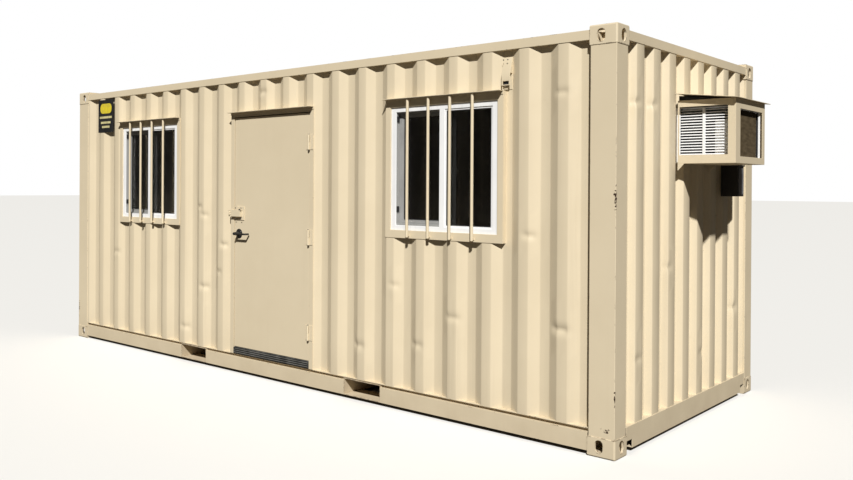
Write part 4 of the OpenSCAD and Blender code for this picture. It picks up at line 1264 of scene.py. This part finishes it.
def makeCoolerSide(side, high, start, end, foot, head):
    # slats, upright and inner cover on one flank of the case, and black boards at the pocket's back and ends:
    # painted shade in the pocket
    depth = coolerParts["pocketDepth"]
    face = high.y * side

    def block(name, x0, x1, y0, y1, z0, z1):
        first, second = sorted((face - y0 * side, face - y1 * side))
        return addBlock(name, (x0, first, z0), (x1, second, z1))

    pitch = (head - foot) / coolerParts["slatCount"]
    slat = block("slat", start, end, 0.0008, coolerParts["slatDepth"], foot + pitch * 0.4,
        foot + pitch * 0.4 + coolerParts["slatThickness"])
    pickFaces(slat, lambda centre, normal: normal.y * side > 0.9)
    bpy.ops.transform.translate(value=(0, 0, -coolerParts["slatDrop"]))
    closeMesh()
    repeatPiece(slat, coolerParts["slatCount"], (0, 0, pitch))
    middle = (start + end) / 2
    post = block("post", middle - coolerParts["postWidth"] * 0.9, middle + coolerParts["postWidth"] * 0.1,
        0.0002,
        coolerParts["slatDepth"] + 0.002, foot, head)
    rim = block("rim", end - 0.005, end, 0.0002, coolerParts["slatDepth"] + 0.002, foot, head)
    cover = block("cover", end - coolerParts["coverEnd"] - coolerParts["coverWidth"],
        end - coolerParts["coverEnd"],
        0.014, depth - 0.0005, foot, head - coolerParts["coverHead"])
    # black boards at the pocket's back and ends: painted shade
    dark = [block("board", start, end, depth - 0.0005, depth - 0.0001, foot, head)]
    thin = coolerParts["shadeLiner"]
    for x in (start + thin, end - 2 * thin):
        dark.append(block("board", x, x + thin, 0.001, depth - thin, foot + thin, head - thin))
    return [slat, post, rim, cover], dark


def makeCooler():
    low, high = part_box("cooler_unit")
    cageLow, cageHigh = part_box("cooler_cage")
    start, end = cageLow.x + coolerParts["slatEnds"][0], cageHigh.x - coolerParts["slatEnds"][1]
    foot, head = low.z + coolerParts["slatFoot"], high.z - coolerParts["slatHead"]
    case = copyNode("cooler_unit", "coolerCase")
    for side in (-1, 1):
        addPocket(case, (start, foot), (end, head), 1, side, coolerParts["pocketDepth"])
    coilLow, coilHigh = (low.y + 0.041, low.z + 0.040), (high.y - 0.010, high.z - 0.020)
    addPocket(case, coilLow, coilHigh, 0, 1, coolerParts["coilDepth"])
    roomLow, roomHigh = (low.y + 0.030, low.z + 0.030), (high.y - 0.030, high.z - 0.030)
    addPocket(case, roomLow, roomHigh, 0, -1, 0.014)
    roundEdges(case, 0.0025, 2)
    finishPiece(case, whiteFrame, standsFor=["cooler_unit"])
    whites, boards = [], []
    for side in (-1, 1):
        parts, dark = makeCoolerSide(side, high, start, end, foot, head)
        whites += parts
        boards += dark
    # upright white strip beside the coil
    outer = high.x - 0.003
    stripEnd = coilHigh[0] - 0.002
    whites.append(addBlock("strip", (outer - 0.005, stripEnd - coolerParts["stripWidth"],
        coilLow[1] + 0.0005),
        (outer, stripEnd, coilHigh[1] - 0.0005)))
    # black board beside the strip: painted shade
    boards.append(addBlock("board", (high.x - coolerParts["coilDepth"] + 0.001, stripEnd + 0.0004,
        coilLow[1] + 0.001), (outer - 0.006, stripEnd + 0.0010, coilHigh[1] - 0.001)))
    # slats and controls on the room's side
    roomFace = low.x
    pitch = (roomHigh[1] - roomLow[1]) / coolerParts["roomSlatCount"]
    slat = addBlock("slat", (roomFace + 0.0015, roomLow[0] + 0.001, roomLow[1] + pitch * 0.35),
        (roomFace + 0.010, roomHigh[0] - 0.100, roomLow[1] + pitch * 0.35 + 0.004))
    repeatPiece(slat, coolerParts["roomSlatCount"], (0, 0, pitch))
    whites.append(slat)
    whites.append(addBlock("panel", (roomFace + 0.001, roomHigh[0] - 0.098, roomLow[1] + 0.001),
        (roomFace + 0.013, roomHigh[0] - 0.001, roomHigh[1] - 0.001)))
    piece = joinPieces("coolerLouvres", whites)
    roundEdges(piece, 0.0008, 1)
    finishPiece(piece, whiteFrame)
    knobs = []
    for height in (0.35, 0.62):
        z = roomLow[1] + (roomHigh[1] - roomLow[1]) * height
        y = roomHigh[0] - 0.050
        knobs.append(addRod("knob", (roomFace + 0.001, y, z), (roomFace - 0.012, y, z), 0.018, 28))
    piece = joinPieces("coolerKnobs", knobs)
    roundEdges(piece, 0.003, 3)
    finishPiece(piece, blackRubber)
    # black board behind the room's slats: painted shade
    boards.append(addBlock("board", (roomFace + 0.0132, roomLow[0] + 0.001, roomLow[1] + 0.001),
        (roomFace + 0.0138, roomHigh[0] - 0.001, roomHigh[1] - 0.001)))
    # black board behind the fins: painted shade in the coil's pocket
    boards.append(addBlock("board", (high.x - coolerParts["coilDepth"] + 0.0002, coilLow[0] + 0.001,
        coilLow[1] + 0.001), (high.x - coolerParts["coilDepth"] + 0.001, coilHigh[0] - 0.001,
        coilHigh[1] - 0.001)))
    piece = joinPieces("coolerShadeBoards", boards)
    roundEdges(piece, 0.0001, 1)
    finishPiece(piece, blackRubber)
    # coil of close upright fins
    finLow = coilLow[0] + 0.003
    finRun = stripEnd - coolerParts["stripWidth"] - coolerParts["coilGap"] - finLow
    fin = addBlock("fin", (high.x - coolerParts["coilDepth"] + 0.002, finLow, coilLow[1] + 0.002),
        (high.x - 0.012, finLow + coolerParts["finThickness"], coilHigh[1] - 0.002))
    repeatPiece(fin, int(finRun / coolerParts["finPitch"]), (0, coolerParts["finPitch"], 0))
    piece = fin
    piece.name = "coolerCoil"
    smoothFaces(piece, 40)
    finishPiece(piece, coilFins)


def makeTopShadeBlock():
    # black block between the case and the cage's sloping roof: painted shade, standing in for the shadow in
    # the wedge under the roof
    low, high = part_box("cooler_cage")
    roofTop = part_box("cooler_cage_roof")[1].z
    piece = addBlock("coolerTopShadeBlock", (low.x + 0.002, low.y + 0.014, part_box("cooler_unit")[1].z + 0.001),
        (high.x - 0.055, high.y - 0.014, high.z - 0.003))
    pickEdges(piece, lambda a, b: max(a.x, b.x) < low.x + 0.01 and min(a.z, b.z) > high.z - 0.01)
    bpy.ops.transform.translate(value=(0, 0, roofTop - 0.010 - high.z))
    closeMesh()
    roundEdges(piece, 0.002)
    finishPiece(piece, blackRubber)


gussetParts = {
    "reach": 0.045,  # down the wall and out under the cage
    "thickness": 0.005,
    "toe": 0.005,  # width left at the lower end
}


def makeCageGussets():
    # small brackets under the cage at the wall
    reach, toe = gussetParts["reach"], gussetParts["toe"]
    low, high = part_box("cooler_cage")
    brackets = []
    for side in (-1, 1):
        edge = high.y * side
        first, second = sorted((edge, edge - gussetParts["thickness"] * side))
        bracket = addBlock("bracket", (low.x, first, low.z - reach), (low.x + reach, second, low.z))
        pickEdges(bracket, lambda a, b: min(a.x, b.x) > low.x + toe and max(a.z, b.z) < low.z - toe)
        bpy.ops.transform.translate(value=(toe - reach, 0, 0))
        closeMesh()
        brackets.append(bracket)
    piece = joinPieces("cageGussets", brackets)
    roundEdges(piece, 0.001)
    finishPiece(piece, trimPaint)


switchParts = {
    "coverIn": 0.008,  # behind the box's outer face
    "coverSide": 0.016,
    "coverFoot": 0.014,
    "coverHead": 0.024,
}


def makeSwitchBox():
    low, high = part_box("switch_box_body")
    piece = copyNode("switch_box_body", "switchBox")
    roundEdges(piece, 0.002, 3)
    finishPiece(piece, blackBox, standsFor=["switch_box_body"])
    front = high.x - switchParts["coverIn"]
    edge = switchParts["coverSide"]
    # the cover on the outer face is lighter grey: painted light on the box's sunlit side
    cover = addBlock("switchCover", (front - 0.001, low.y + edge, low.z + switchParts["coverFoot"]),
        (front + 0.004, high.y - edge, high.z - switchParts["coverHead"]))
    pickFaces(cover, lambda centre, normal: normal.x > 0.9)
    bpy.ops.mesh.inset(thickness=0.010, depth=0.002)
    closeMesh()
    roundEdges(cover, 0.0012, 2)
    finishPiece(cover, sunlitGreyCover)


makeVent()
makeSign()
makeCooler()
makeTopShadeBlock()
makeCageGussets()
makeSwitchBox()
print("equipment ready")


# inside

stripParts = {
    "halfWidth": 0.02,
    "thickness": 0.003,
    "spacing": 1.2,
    "last": 2.1,
}


def makeCoverStrips():
    # narrow strips over the joints of the lining boards
    half, thick = stripParts["halfWidth"], stripParts["thickness"]
    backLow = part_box("back_lining")[0]
    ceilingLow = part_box("ceiling_panel")[0]
    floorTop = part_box("floor_boards")[1].z
    strips = []
    for number in range(-2, 3):
        x = (number + 0.5) * stripParts["spacing"] if number < 2 else stripParts["last"]
        strips.append(addBlock("strip", (x - half, backLow.y - thick, floorTop),
            (x + half, backLow.y, ceilingLow.z)))
        strips.append(addBlock("strip", (x - half, -backLow.y + thick, ceilingLow.z - thick),
            (x + half, backLow.y - thick, ceilingLow.z)))
    piece = joinPieces("coverStrips", strips)
    roundEdges(piece, 0.001)
    finishPiece(piece, liningFace)


makeCoverStrips()
print("inside ready")


# camera, light and floor

shot = {
    "place": (5.2666, -5.9748, 1.6107),
    "azimuth": 42.52,  # degrees from looking along +Y, turned towards -X
    "elevation": -0.15,
    "roll": 0.33,
    "lens": 36.0,
    "shift": (0.0892, -0.0598),
}


def makeCamera():
    lens = bpy.data.cameras.new("camera")
    lens.lens = shot["lens"]
    lens.sensor_width = 36
    lens.shift_x, lens.shift_y = shot["shift"]
    lens.clip_end = 300
    camera = bpy.data.objects.new("camera", lens)
    bpy.context.scene.collection.objects.link(camera)
    azimuth, elevation = math.radians(shot["azimuth"]), math.radians(shot["elevation"])
    look = Vector((-math.sin(azimuth) * math.cos(elevation), math.cos(azimuth) * math.cos(elevation),
        math.sin(elevation)))
    turn = look.to_track_quat("-Z", "Y")
    camera.rotation_mode = "QUATERNION"
    camera.rotation_quaternion = turn @ Quaternion((0, 0, 1), math.radians(shot["roll"]))
    camera.location = shot["place"]
    bpy.context.scene.camera = camera
    return camera


makeCamera()

studio = {
    "towardsSun": (0.80, -1.0, 1.09),
    "sunStrength": 5.15,
    "sunSoftness": 1.5,  # degrees
    "sunColour": (1.0, 0.985, 0.955),
    "roomStrength": 0.045,
    "roomColour": (1.0, 0.93, 0.82, 1),
    "backdrop": (1.0, 1.0, 1.0, 1),
    "floorSize": 240,
    "floorShade": (0.82, 0.82, 0.81, 1),
    "floorBounce": (0.060, 0.050, 0.036, 1),  # what the floor throws back onto the object
}


def makeLight():
    lamp = bpy.data.lights.new("sun", "SUN")
    lamp.energy = studio["sunStrength"]
    lamp.angle = math.radians(studio["sunSoftness"])
    lamp.color = studio["sunColour"]
    sun = bpy.data.objects.new("sun", lamp)
    bpy.context.scene.collection.objects.link(sun)
    sun.rotation_mode = "QUATERNION"
    sun.rotation_quaternion = Vector(studio["towardsSun"]).to_track_quat("Z", "Y")
    world = bpy.data.worlds.new("studio")
    bpy.context.scene.world = world
    world.use_nodes = True
    tree = world.node_tree
    fill = next(node for node in tree.nodes if node.type == "BACKGROUND")
    fill.inputs["Color"].default_value = studio["roomColour"]
    fill.inputs["Strength"].default_value = studio["roomStrength"]
    seen = tree.nodes.new("ShaderNodeBackground")
    seen.inputs["Color"].default_value = studio["backdrop"]
    ray = tree.nodes.new("ShaderNodeLightPath")
    blend = tree.nodes.new("ShaderNodeMixShader")
    tree.links.new(ray.outputs["Is Camera Ray"], blend.inputs[0])
    tree.links.new(fill.outputs[0], blend.inputs[1])
    tree.links.new(seen.outputs[0], blend.inputs[2])
    end = next(node for node in tree.nodes if node.type == "OUTPUT_WORLD")
    tree.links.new(blend.outputs[0], end.inputs["Surface"])
    bpy.context.scene.view_settings.view_transform = "Standard"


def makeFloor():
    for other in list(bpy.context.selected_objects):
        other.select_set(False)
    bpy.ops.mesh.primitive_plane_add(size=studio["floorSize"], location=(0, 0, 0))
    floor = bpy.context.object
    floor.name = "studioFloor"
    material, tree, shader = newMaterial("paleFloor")[:3]
    seen = addNode(tree, "LightPath").outputs["Is Camera Ray"]
    tree.links.new(mixColours(tree, seen, studio["floorBounce"], studio["floorShade"]),
        shader.inputs["Base Color"])
    shader.inputs["Roughness"].default_value = 0.9
    floor.data.materials.append(material)


makeLight()
makeFloor()
print("studio ready")
